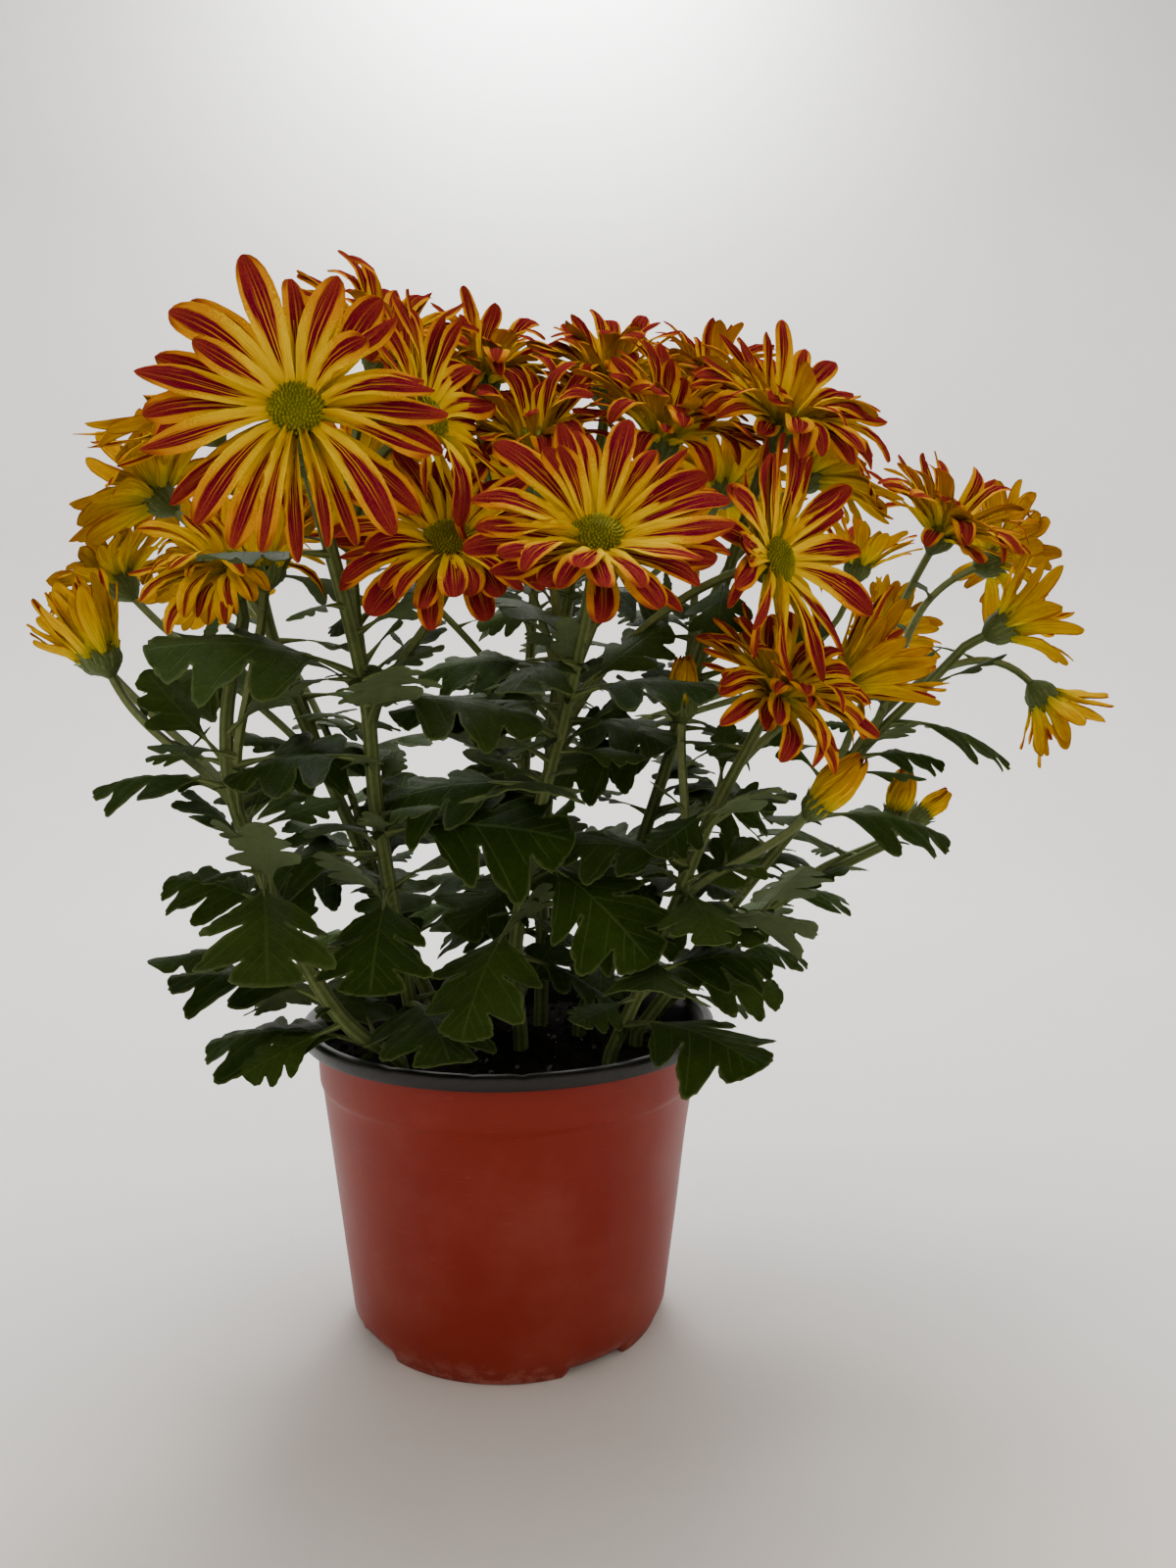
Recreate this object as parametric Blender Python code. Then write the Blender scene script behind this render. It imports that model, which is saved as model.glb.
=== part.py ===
"""A potted chrysanthemum in bloom: a thin plastic pot, its potting mix, ten leafy shoots, blooms and buds.

Sizes are in metres and angles in degrees. +Z is up, the front is -Y, and the origin is the middle of the
pot's underside. A bearing is counted round +Z from the front (-Y) towards the right (+X), and a rise is
counted up from the horizontal.
"""

import math
import random
from collections import namedtuple

import bmesh
import bpy
from mathutils import Matrix, Quaternion, Vector
from mathutils.bvhtree import BVHTree

MM = 0.001
GAP = 0.3 * MM

# Pot
POT_STEPS = 36
RIM_RADIUS = 75 * MM
POT_HEIGHT = 110 * MM
LIP_DEPTH = 5 * MM
COLLAR_DEPTH = 20 * MM
WALL = 1.2 * MM
TOP_RADIUS = 69.8 * MM
FOOT_RADIUS = 54.6 * MM
FOOT_WIDTH = 3.6 * MM
FLOOR_HEIGHT = 3 * MM
PAD_RADIUS = 18 * MM
PAD_SLOPE = 3 * MM
FOOT_FLARE = 3 * MM
FLARE_HEIGHT = 7 * MM
WALL_FOOT = 8 * MM
COLLAR_STEP = 0.8 * MM
LIP_ROUND = 1.6 * MM
NOTCH_HEIGHT = 2.8 * MM
NOTCH_BEARINGS = (32, 122, 212, 302)
NOTCH_HALF_ANGLE = 13

# Potting mix
SOIL_TOP = 97 * MM
SOIL_CROWN = 3 * MM
SOIL_RELIEF = 1.1 * MM
SOIL_SLACK = 1.2 * GAP
SOIL_SEED = 11
HOLE_RADIUS = 3.4 * MM
HOLE_DEPTH = 24 * MM
HOLE_SIDES = 8

# Stems
STEM_FOOT_RADIUS = 2.7 * MM
STEM_TIP_RADIUS = 1.9 * MM
STALK_RADIUS = 1.5 * MM
STEM_SIDES = 5
STALK_SIDES = 4
COLLAR_LIFT = 3 * MM
NECK_LENGTH = 9 * MM
LAUNCH = 0.35
ARRIVAL = 0.38
CALYX_RADIUS = 5.2 * MM
CALYX_DEPTH = 5.5 * MM
BUD_CALYX = 0.8

# Blooms
HUB_RADIUS = 6 * MM
HUB_DEPTH = 3.2 * MM
HUB_TAPER = 0.5 * MM
KEEL = 1.2 * MM
RAY_WIDTH = 8.8 * MM
RAY_WIDTH_SHARE = 0.26
RAY_STEPS = 12
CURL_POWER = 1.4
UPRIGHT = 0.8
WANDER = 4
SPREAD = (0.86, 1.06)
UPPER_STATIONS = ((0.42, 0.72), (0.83, 1.0))
LOWER_STATIONS = ((0.75, 1.0),)
RING_GAP = 11
DISC_RADIUS = 5.9 * MM
DISC_HEIGHT = 3.4 * MM
DISC_SIDES = 8
DISC_LEVELS = ((0.90, 0.0), (1.0, 0.35), (0.72, 0.78))
CLEARANCE = 0.28 * MM

# Buds
BUD_GIRTH = 0.34
BUD_LEVELS = ((0.0, 0.62), (0.40, 0.94), (0.84, 0.50))
BUD_FLUTES = 6
FLUTE_SHARE = 0.86
BUD_TWIST = 0.22

# Leaves
LEAF_THICKNESS = 0.8 * MM
LEAF_FOLD = 18
LEAF_DROOP = 46
LEAF_STEPS = 8
PETIOLE_SHARE = 0.24
PETIOLE_HALF_WIDTH = 0.9 * MM
SHARP_ANGLE = 35

Bloom = namedtuple("Bloom", "name place bearing rise radius rays cup curl sag disc")
Shoot = namedtuple("Shoot", "name foot via ends_in branches leaves")

# Each bloom: its middle in millimetres, which way it faces, its radius in millimetres, the rays in each
# of its two rings, how far the rays stand up from its face, how far they bend back, how far they hang,
# and whether its green disc shows.
BLOOMS = (
    Bloom("front_left", (-53, -118, 297), 6, 14, 38, 12, 20, 26, 0.42, True),
    Bloom("front_middle", (24, -108, 268), 2, 40, 38, 12, 30, 28, 0.22, True),
    Bloom("mid_left", (-17, -84, 270), -2, 38, 35, 11, 24, 40, 0.34, True),
    Bloom("right_front", (84, -62, 268), 44, 8, 38, 11, 26, 18, 0.30, True),
    Bloom("low_right", (86, -62, 228), 34, 50, 34, 9, 32, 40, 0.20, False),
    Bloom("low_right_half", (117, -34, 233), 72, 34, 36, 6, 62, 4, 0.05, False),
    Bloom("top_right", (89, -48, 315), 30, 54, 38, 10, 34, 42, 0.20, True),
    Bloom("right_high", (169, 20, 292), 40, 56, 38, 9, 38, 40, 0.18, False),
    Bloom("right_behind", (204, 52, 284), 100, 20, 34, 7, 30, 36, 0.30, False),
    Bloom("right_half", (190, 6, 254), 78, 26, 32, 6, 56, 16, 0.12, False),
    Bloom("right_nodding", (216, 28, 224), 84, -50, 27, 6, 58, 4, 0.00, False),
    Bloom("back_right_cup", (160, 98, 290), 70, 78, 30, 7, 52, 20, 0.10, False),
    Bloom("back_right_low", (176, 112, 258), 120, 30, 28, 7, 40, 30, 0.20, False),
    Bloom("right_inner", (112, -2, 309), 84, 40, 33, 8, 36, 46, 0.26, False),
    Bloom("left_front", (-84, -57, 266), -8, 62, 32, 9, 26, 40, 0.30, True),
    Bloom("left_half", (-137, -22, 243), -60, 68, 30, 6, 82, 0, 0.02, False),
    Bloom("left_half_low", (-150, 6, 243), -76, 50, 25, 6, 82, 0, 0.02, False),
    Bloom("left_behind", (-128, 14, 300), -104, 40, 34, 7, 28, 38, 0.30, False),
    Bloom("upper_left", (-102, -24, 318), -72, 46, 34, 9, 32, 34, 0.26, True),
    Bloom("left_outer", (-150, 36, 272), -96, 48, 30, 7, 34, 30, 0.24, False),
    Bloom("left_cup", (-72, -66, 268), 22, 74, 27, 6, 68, 6, 0.04, False),
    Bloom("top_left", (-38, -42, 336), 46, 52, 35, 9, 34, 36, 0.24, True),
    Bloom("top_middle_left", (-8, -14, 338), 20, 70, 35, 9, 36, 44, 0.24, True),
    Bloom("top_middle", (36, -2, 340), 8, 66, 35, 9, 38, 40, 0.22, True),
    Bloom("top_back", (78, 28, 346), 12, 72, 35, 8, 42, 38, 0.22, False),
    Bloom("centre_high", (50, -48, 311), 24, 60, 35, 8, 42, 36, 0.20, False),
    Bloom("centre_left_high", (8, -44, 308), -14, 62, 33, 8, 40, 38, 0.22, False),
    Bloom("left_high", (-22, -82, 304), 64, 22, 35, 8, 28, 34, 0.30, False),
    Bloom("back_left", (-66, 74, 316), -150, 54, 35, 8, 28, 40, 0.26, True),
    Bloom("back_middle", (14, 96, 322), 178, 50, 36, 8, 28, 40, 0.26, True),
    Bloom("back_right", (96, 84, 318), 140, 46, 35, 8, 28, 38, 0.28, False),
    Bloom("back_left_low", (-122, 86, 276), -130, 34, 33, 7, 28, 38, 0.30, False),
)

# Each bud: its base in millimetres, its bearing and rise, and its length in millimetres.
BUDS = (
    ("right_bud", (102, -46, 190), 64, 48, 21),
    ("far_bud_left", (154, 26, 181), 40, 76, 17),
    ("far_bud_right", (168, 36, 179), 88, 40, 14),
    ("middle_bud", (56, -50, 223), 10, 84, 15),
)

# Each shoot: where it leaves the mix, the points that it passes in millimetres, the bloom or bud at its tip,
# its branches as (share of the way up, bloom or bud), and its leaves as (share of the way up, bearing, rise,
# length in millimetres, roll of the upper face towards the front).
SHOOTS = (
    Shoot("left_front", (-36, -38), ((-58, -50, 128), (-84, -50, 184), (-88, -52, 216)), "left_front",
          ((0.56, "left_half"), (0.48, "left_half_low"), (0.62, "left_cup")),
          ((0.06, -96, 22, 62, 14), (0.20, -84, 34, 54, 12), (0.32, 96, 12, 40, 40), (0.41, -92, 34, 42, 34),
           (0.67, -86, 22, 44, 16), (0.71, 70, 20, 46, 42))),
    Shoot("middle_left", (-33, -10), ((-36, -24, 130), (-42, -50, 190), (-44, -66, 232)), "front_left",
          ((0.56, "mid_left"), (0.66, "left_high"), (0.60, "top_left")),
          ((0.08, 16, 6, 62, 0), (0.31, -2, -6, 52, 0), (0.37, -84, 8, 56, 30), (0.41, 72, 16, 66, 52),
           (0.53, -96, 16, 56, 16), (0.62, 66, 14, 58, 22), (0.66, -78, 34, 68, 42))),
    Shoot("middle", (4, -12), ((2, -28, 138), (8, -44, 180), (18, -58, 222)), "front_middle",
          ((0.54, "right_front"), (0.60, "centre_high"), (0.66, "centre_left_high")),
          ((0.30, -24, -12, 56, 0), (0.33, 74, 0, 60, 54), (0.43, 36, -10, 60, 40), (0.56, -82, 14, 56, 30),
           (0.66, -64, 30, 56, 24), (0.74, 70, 24, 50, 24), (0.82, -30, 10, 40, 0))),
    Shoot("right_front", (34, -34), ((50, -44, 144), (64, -53, 184)), "low_right",
          ((0.52, "middle_bud"), (0.40, "right_bud"), (0.66, "low_right_half")),
          ((0.10, 34, 22, 62, 20), (0.26, 88, 26, 46, 24), (0.38, 74, 30, 54, -34), (0.60, -72, 30, 48, 30),
           (0.70, 30, 50, 38, 0))),
    Shoot("right", (46, -8), ((88, -2, 156), (130, 8, 202), (158, 8, 230)), "right_half",
          ((0.66, "right_nodding"), (0.60, "right_high"), (0.72, "right_behind")),
          ((0.30, -40, 24, 48, 20), (0.44, 150, 24, 50, 20), (0.52, 84, 14, 60, 20), (0.68, 80, 20, 36, 20),
           (0.78, 94, 6, 56, 18))),
    Shoot("low_right", (56, 18), ((92, 26, 134), (124, 30, 154)), "far_bud_left",
          ((0.62, "far_bud_right"),),
          ((0.14, 150, 26, 46, 20), (0.32, 100, 10, 40, 14), (0.56, 118, 20, 42, 20))),
    Shoot("centre", (12, 18), ((14, 16, 180), (22, 4, 262)), "top_middle",
          ((0.54, "top_middle_left"),),
          ((0.14, -150, 24, 54, 20), (0.28, 60, 20, 58, 40), (0.38, -40, 18, 56, 30), (0.50, 40, 16, 56, 30),
           (0.60, -84, 18, 54, 30), (0.72, 66, 14, 48, 30))),
    Shoot("centre_right", (26, 6), ((48, 0, 170), (70, -14, 246)), "top_right",
          ((0.50, "right_inner"), (0.56, "top_back")),
          ((0.26, 20, 14, 58, 0), (0.40, 96, 20, 54, 40), (0.52, -60, 20, 52, 36), (0.64, 60, 22, 50, 30))),
    Shoot("left_back", (-28, 24), ((-58, 26, 170), (-84, 6, 244)), "upper_left",
          ((0.34, "left_outer"), (0.48, "left_behind"), (0.24, "back_left_low")),
          ((0.12, -120, 20, 58, 24), (0.28, -40, 14, 56, 30), (0.40, -110, 22, 54, 30),
           (0.52, 30, 14, 52, 20), (0.64, -80, 14, 48, 36))),
    Shoot("back", (2, 46), ((6, 66, 180), (10, 84, 250)), "back_middle",
          ((0.26, "back_right_low"), (0.32, "back_right_cup"), (0.50, "back_right"),
           (0.48, "back_left")),
          ((0.06, 178, 16, 60, 0), (0.14, -110, 24, 58, 20), (0.22, 112, 24, 58, 20),
           (0.40, -160, 22, 54, 0), (0.50, 96, 20, 52, 24), (0.60, 150, 20, 48, 0))),
)

# A leaf's right-hand outline beyond its stalk: share of the blade's length, half width as a share of it.
LOBED_EDGE = ((0.08, 0.15), (0.26, 0.42), (0.38, 0.19), (0.62, 0.44), (0.70, 0.19))
LEAF_RIB = (0.12, 0.52)

# What is tried in turn for a ray: extra rise and share of its length.
RAY_TRIES = ((0, 1), (7, 1), (-7, 1), (12, 0.9), (-12, 0.9), (16, 0.75), (-14, 0.75), (0, 0.6), (18, 0.5))
# What is tried in turn for a leaf: extra bearing, extra rise and share of its length.
LEAF_TRIES = (
    (0, 0, 1), (14, 0, 1), (-14, 0, 1), (0, -14, 1), (0, 14, 1), (26, -8, 0.95), (-26, -8, 0.95),
    (22, 12, 0.9), (-22, 12, 0.9), (40, 0, 0.85), (-40, 0, 0.85), (0, -24, 0.8), (0, 22, 0.75),
    (60, 0, 0.75), (-60, 0, 0.75), (90, 0, 0.7), (-90, 0, 0.7), (30, 20, 0.6), (-30, 20, 0.6),
)

COLOURS = {  # base colour, roughness
    "terracotta plastic": ((0.40, 0.075, 0.035), 0.38),
    "potting mix": ((0.020, 0.015, 0.011), 0.95),
    "stem green": ((0.075, 0.125, 0.035), 0.60),
    "ray yellow": ((0.80, 0.40, 0.015), 0.50),
    "disc green": ((0.28, 0.36, 0.02), 0.70),
}


def clear_scene():
    for obj in list(bpy.data.objects):
        bpy.data.objects.remove(obj)


def material(name):
    made = bpy.data.materials.get(name)
    if made is None:
        colour, roughness = COLOURS[name]
        made = bpy.data.materials.new(name)
        made.use_nodes = True
        shader = made.node_tree.nodes["Principled BSDF"]
        shader.inputs["Base Color"].default_value = (*colour, 1)
        shader.inputs["Roughness"].default_value = roughness
        shader.inputs["Metallic"].default_value = 0
    return made


def add_object(name, points, faces, colour):
    mesh = bpy.data.meshes.new(name)
    mesh.from_pydata([tuple(p) for p in points], [], faces)
    shape = bmesh.new()
    shape.from_mesh(mesh)
    bmesh.ops.recalc_face_normals(shape, faces=shape.faces)
    shape.to_mesh(mesh)
    shape.free()
    mesh.shade_smooth()
    mesh.set_sharp_from_angle(angle=math.radians(SHARP_ANGLE))
    mesh.materials.append(material(colour))
    obj = bpy.data.objects.new(name, mesh)
    bpy.context.scene.collection.objects.link(obj)
    return obj


def heading(bearing, rise):
    """The unit vector of a bearing and a rise."""
    b, r = math.radians(bearing), math.radians(rise)
    return Vector((math.sin(b) * math.cos(r), -math.cos(b) * math.cos(r), math.sin(r)))


def in_metres(place):
    return Vector(place) * MM


# Keeping the pieces clear of each other

class Neighbours:
    """The solids placed so far, each as a search tree with the node that it belongs to."""

    def __init__(self):
        self.placed = []

    def add(self, owner, points, faces):
        middle = sum(points, Vector()) / len(points)
        reach = max((p - middle).length for p in points)
        tree = BVHTree.FromPolygons(points, faces)
        self.placed.append((owner, tree, points, middle, reach))

    def crowds(self, points, faces, owners_left_out=(), margin=CLEARANCE, probes=None):
        """Whether a shape crosses a placed one, or a probe point of it comes nearer than the margin."""
        middle = sum(points, Vector()) / len(points)
        reach = max((p - middle).length for p in points)
        tree = BVHTree.FromPolygons(points, faces)
        probes = points if probes is None else probes
        for owner, other, other_points, other_middle, other_reach in self.placed:
            if owner in owners_left_out or (middle - other_middle).length > reach + other_reach + margin:
                continue
            if tree.overlap(other):
                return True
            if any(other.find_nearest(p, margin)[0] is not None for p in probes):
                return True
            if any((p - middle).length < reach + margin and tree.find_nearest(p, margin)[0] is not None
                   for p in other_points):
                return True
        return False


# Pot and potting mix

def foot_lift(bearing):
    """How far the foot is cut up at a bearing: four broad drain notches."""
    for notch in NOTCH_BEARINGS:
        away = abs((bearing - notch + 180) % 360 - 180)
        if away <= NOTCH_HALF_ANGLE:
            return NOTCH_HEIGHT
    return 0.0


def turned(profile, steps, lift=None):
    """Points and faces of a closed turned shape. The profile runs from pole to pole."""
    points, rings = [], []
    for index, (radius, height) in enumerate(profile):
        if radius == 0:
            rings.append([len(points)])
            points.append(Vector((0, 0, height)))
            continue
        rings.append(list(range(len(points), len(points) + steps)))
        for step in range(steps):
            bearing = 360 * step / steps
            extra = lift(index, bearing) if lift else 0
            points.append(heading(bearing, 0) * radius + Vector((0, 0, height + extra)))
    faces = []
    for low, high in zip(rings, rings[1:]):
        for step in range(steps):
            after = (step + 1) % steps
            if len(low) == 1:
                faces.append((low[0], high[step], high[after]))
            elif len(high) == 1:
                faces.append((low[step], low[after], high[0]))
            else:
                faces.append((low[step], low[after], high[after]))
                faces.append((low[step], high[after], high[step]))
    return points, faces


def inner_radius(height):
    """Inner face of the pot's tapering wall."""
    share = (height - WALL_FOOT) / (POT_HEIGHT - LIP_DEPTH - WALL_FOOT)
    low, high = FOOT_RADIUS + 1.8 * MM, TOP_RADIUS - WALL
    return low + share * (high - low)


def make_pot(neighbours):
    lip_bottom = POT_HEIGHT - LIP_DEPTH
    collar = POT_HEIGHT - COLLAR_DEPTH
    floor = FLOOR_HEIGHT + WALL
    profile = (
        (0, 0),
        (PAD_RADIUS, 0),
        (PAD_RADIUS + PAD_SLOPE, FLOOR_HEIGHT),
        (FOOT_RADIUS - FOOT_WIDTH - WALL, FLOOR_HEIGHT),
        (FOOT_RADIUS - FOOT_WIDTH, 0),
        (FOOT_RADIUS, 0),
        (FOOT_RADIUS + FOOT_FLARE, FLARE_HEIGHT),
        (TOP_RADIUS - WALL - COLLAR_STEP, collar - 2 * COLLAR_STEP),
        (TOP_RADIUS - WALL, collar),
        (TOP_RADIUS, lip_bottom - GAP),
        (RIM_RADIUS, lip_bottom + GAP),
        (RIM_RADIUS, POT_HEIGHT - LIP_ROUND),
        (RIM_RADIUS - LIP_ROUND, POT_HEIGHT),
        (inner_radius(lip_bottom), lip_bottom),
        (inner_radius(WALL_FOOT), WALL_FOOT),
        (FOOT_RADIUS - WALL, floor + GAP),
        (PAD_RADIUS + PAD_SLOPE + WALL / 2, floor),
        (PAD_RADIUS + WALL, WALL),
        (0, WALL),
    )
    foot_rings = (4, 5)
    points, faces = turned(profile, POT_STEPS,
                           lambda index, bearing: foot_lift(bearing) if index in foot_rings else 0)
    add_object("pot", points, faces, "terracotta plastic")
    neighbours.add("pot", points, faces)


def make_soil(neighbours):
    rng = random.Random(SOIL_SEED)
    bottom = FLOOR_HEIGHT + WALL + 2 * GAP
    rim = inner_radius(SOIL_TOP) - SOIL_SLACK
    profile = (
        (0, bottom),
        (FOOT_RADIUS - 2 * WALL, bottom),
        (inner_radius(WALL_FOOT) - SOIL_SLACK, WALL_FOOT),
        (rim, SOIL_TOP),
        (rim * 0.80, SOIL_TOP + SOIL_CROWN * 0.4),
        (rim * 0.42, SOIL_TOP + SOIL_CROWN * 0.9),
        (0, SOIL_TOP + SOIL_CROWN),
    )
    first_bumpy = 4

    def relief(index, bearing):
        return rng.uniform(-1, 1) * SOIL_RELIEF if index >= first_bumpy else 0

    points, faces = turned(profile, POT_STEPS, relief)
    soil = add_object("potting_mix", points, faces, "potting mix")
    neighbours.add("potting_mix", points, faces)
    for shoot in SHOOTS:
        cutter = add_hole_cutter(shoot)
        cut = soil.modifiers.new("Hole for " + shoot.name, "BOOLEAN")
        cut.operation = "DIFFERENCE"
        cut.object = cutter


def add_hole_cutter(shoot):
    top = SOIL_TOP + 3 * SOIL_CROWN
    bottom = SOIL_TOP - HOLE_DEPTH
    shape = bmesh.new()
    place = Matrix.Translation(Vector((shoot.foot[0] * MM, shoot.foot[1] * MM, (top + bottom) / 2)))
    bmesh.ops.create_cone(shape, cap_ends=True, segments=HOLE_SIDES, radius1=HOLE_RADIUS,
                          radius2=HOLE_RADIUS, depth=top - bottom, matrix=place)
    mesh = bpy.data.meshes.new("hole_" + shoot.name)
    shape.to_mesh(mesh)
    shape.free()
    cutter = bpy.data.objects.new("hole_" + shoot.name, mesh)
    bpy.context.scene.collection.objects.link(cutter)
    cutter.hide_render = True
    cutter.display_type = "WIRE"
    return cutter


# Stems

def smooth_route(points, per_span):
    """Points along a Catmull-Rom curve through the given ones."""
    ends = [points[0] * 2 - points[1], *points, points[-1] * 2 - points[-2]]
    route = []
    for a, b, c, d in zip(ends, ends[1:], ends[2:], ends[3:]):
        for step in range(per_span):
            t = step / per_span
            route.append(0.5 * (2 * b + (c - a) * t + (2 * a - 5 * b + 4 * c - d) * t ** 2
                                + (3 * b - a - 3 * c + d) * t ** 3))
    route.append(points[-1])
    return route


def along(route, share):
    """The point and direction at a share of a route's length."""
    lengths = [0]
    for a, b in zip(route, route[1:]):
        lengths.append(lengths[-1] + (b - a).length)
    wanted = share * lengths[-1]
    for index in range(len(route) - 1):
        if lengths[index + 1] >= wanted:
            part = (wanted - lengths[index]) / (lengths[index + 1] - lengths[index])
            return route[index].lerp(route[index + 1], part), (route[index + 1] - route[index]).normalized()
    return route[-1], (route[-1] - route[-2]).normalized()


def tube(route, radii, sides):
    """Points and faces of a closed tube with flat ends."""
    points, faces = [], []
    across = Vector((0.3, 1, 0.1))
    for index, (place, radius) in enumerate(zip(route, radii)):
        ahead = (route[min(index + 1, len(route) - 1)] - route[max(index - 1, 0)]).normalized()
        across = (across - ahead * across.dot(ahead)).normalized()
        over = ahead.cross(across)
        for side in range(sides):
            turn = math.tau * side / sides
            points.append(place + (across * math.cos(turn) + over * math.sin(turn)) * radius)
    for ring in range(len(route) - 1):
        low, high = ring * sides, (ring + 1) * sides
        for side in range(sides):
            after = (side + 1) % sides
            faces.append((low + side, low + after, high + after))
            faces.append((low + side, high + after, high + side))
    last = (len(route) - 1) * sides
    for side in range(1, sides - 1):
        faces.append((0, side + 1, side))
        faces.append((last, last + side, last + side + 1))
    return points, faces


def bezier(a, b, c, d, count):
    return [a * (1 - t) ** 3 + 3 * b * t * (1 - t) ** 2 + 3 * c * t ** 2 * (1 - t) + d * t ** 3
            for t in (step / count for step in range(count + 1))]


def head_of(name):
    """The seat of a bloom's or bud's calyx and the way that it faces."""
    for bloom in BLOOMS:
        if bloom.name == name:
            facing = heading(bloom.bearing, bloom.rise)
            return in_metres(bloom.place) - facing * (HUB_DEPTH + GAP), facing
    for bud_name, place, bearing, rise, _ in BUDS:
        if bud_name == name:
            facing = heading(bearing, rise)
            return in_metres(place), facing
    raise KeyError(name)


def calyx_points(seat, facing, scale):
    return [seat - facing * CALYX_DEPTH * scale, seat - facing * CALYX_DEPTH * 0.45 * scale, seat]


def calyx_radii(scale):
    return [STALK_RADIUS * 1.2, CALYX_RADIUS * 0.8 * scale, CALYX_RADIUS * scale]


def head_scale(name):
    return 1.0 if any(bloom.name == name for bloom in BLOOMS) else BUD_CALYX


def shoot_route(shoot):
    """The middle line of a shoot, from the foot of its hole to the seat of its calyx."""
    seat, facing = head_of(shoot.ends_in)
    foot = Vector((shoot.foot[0] * MM, shoot.foot[1] * MM, SOIL_TOP - HOLE_DEPTH + GAP))
    collar = Vector((foot.x, foot.y, SOIL_TOP + SOIL_CROWN + COLLAR_LIFT))
    neck = seat - facing * (CALYX_DEPTH * head_scale(shoot.ends_in) + NECK_LENGTH)
    return [foot] + smooth_route([collar, *map(in_metres, shoot.via), neck], 2)


def stem_pieces(shoot):
    """The shoot's main stem and its flower stalks, as closed tubes that run into each other."""
    route = shoot_route(shoot)
    seat, facing = head_of(shoot.ends_in)
    scale = head_scale(shoot.ends_in)
    radii = [STEM_FOOT_RADIUS + (STEM_TIP_RADIUS - STEM_FOOT_RADIUS) * index / (len(route) - 1)
             for index in range(len(route))]
    pieces = [tube(route + calyx_points(seat, facing, scale), radii + calyx_radii(scale), STEM_SIDES)]
    for share, name in shoot.branches:
        start, ahead = along(route[1:], share)
        seat, facing = head_of(name)
        scale = head_scale(name)
        neck = seat - facing * CALYX_DEPTH * scale
        reach = (neck - start).length
        lift = (ahead * 0.6 + Vector((0, 0, 0.4))).normalized()
        line = bezier(start, start + lift * reach * LAUNCH, neck - facing * reach * ARRIVAL, neck, 4)
        pieces.append(tube(line[:-1] + calyx_points(seat, facing, scale),
                           [STALK_RADIUS] * (len(line) - 1) + calyx_radii(scale), STALK_SIDES))
    return pieces


# Leaves

def leaf_shape(root, bearing, rise, length, roll):
    """A thin lobed leaf on its stalk, arched down, folded down along its rib and rolled about its root.

    Returns its points, its faces, and the faces of the blade alone.
    """
    petiole = length * PETIOLE_SHARE
    blade = length - petiole
    side = heading(bearing + 90, 0)
    about_root = Quaternion(heading(bearing, rise), math.radians(roll) * math.sin(math.radians(bearing)))

    def place(x, y, lift):
        """A point of the leaf, x along it and y across it, lifted off its middle surface."""
        share = x / length
        middle = Vector()
        for step in range(LEAF_STEPS):
            slope = rise - LEAF_DROOP * share * (step + 0.5) / LEAF_STEPS
            middle += heading(bearing, slope) * (x / LEAF_STEPS)
        normal = side.cross(heading(bearing, rise - LEAF_DROOP * share))
        fold = math.radians(LEAF_FOLD) if x > 0 else 0
        leaning = side * math.copysign(math.sin(fold), y) if y else Vector()
        across = side * y * math.cos(fold) + normal * abs(y) * math.sin(fold)
        return root + about_root @ (middle + across + (normal * math.cos(fold) - leaning) * lift)

    edge = [(petiole, PETIOLE_HALF_WIDTH)] + [(petiole + blade * x, blade * y) for x, y in LOBED_EDGE]
    rib = [petiole] + [petiole + blade * x for x in LEAF_RIB]
    points, levels = [], []
    for lift in (LEAF_THICKNESS / 2, -LEAF_THICKNESS / 2):
        level = {}
        rows = (("rib", [(x, 0) for x in rib]), ("right", edge), ("left", [(x, -y) for x, y in edge]),
                ("tip", [(length, 0)]), ("root", [(0, PETIOLE_HALF_WIDTH), (0, -PETIOLE_HALF_WIDTH)]))
        for part, row in rows:
            level[part] = list(range(len(points), len(points) + len(row)))
            points += [place(x, y, lift) for x, y in row]
        levels.append(level)
    spine_x = rib + [length]
    edge_x = [x for x, _ in edge] + [length]
    blade_faces, faces = [], []
    for level in levels:
        spine = level["rib"] + level["tip"]
        for part in ("right", "left"):
            blade_faces += strip_faces(spine, level[part] + level["tip"], spine_x, edge_x)
        root_right, root_left = level["root"]
        faces += [(root_right, level["right"][0], level["rib"][0]), (root_right, level["rib"][0], root_left),
                  (root_left, level["rib"][0], level["left"][0])]
    top, low = levels
    for number, part in enumerate(("right", "left")):
        upper, lower = top[part] + top["tip"], low[part] + low["tip"]
        for k in range(len(upper) - 1):
            blade_faces += [(upper[k], upper[k + 1], lower[k + 1]), (upper[k], lower[k + 1], lower[k])]
        stalk_top, stalk_low = top["root"][number], low["root"][number]
        faces += [(stalk_top, upper[0], lower[0]), (stalk_top, lower[0], stalk_low)]
    faces += [(top["root"][0], top["root"][1], low["root"][1]),
              (top["root"][0], low["root"][1], low["root"][0])]
    return points, faces + blade_faces, blade_faces


def strip_faces(spine, edge, spine_x, edge_x):
    """Triangles between a leaf's rib and one edge, walked by how far along the leaf each point is."""
    faces, i, j = [], 0, 0
    while i < len(spine) - 1 or j < len(edge) - 1:
        if j < len(edge) - 1 and (i == len(spine) - 1 or edge_x[j + 1] <= spine_x[i + 1]):
            faces.append((spine[i], edge[j], edge[j + 1]))
            j += 1
        else:
            faces.append((spine[i], edge[j], spine[i + 1]))
            i += 1
    return [face for face in faces if len(set(face)) == 3]


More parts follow.
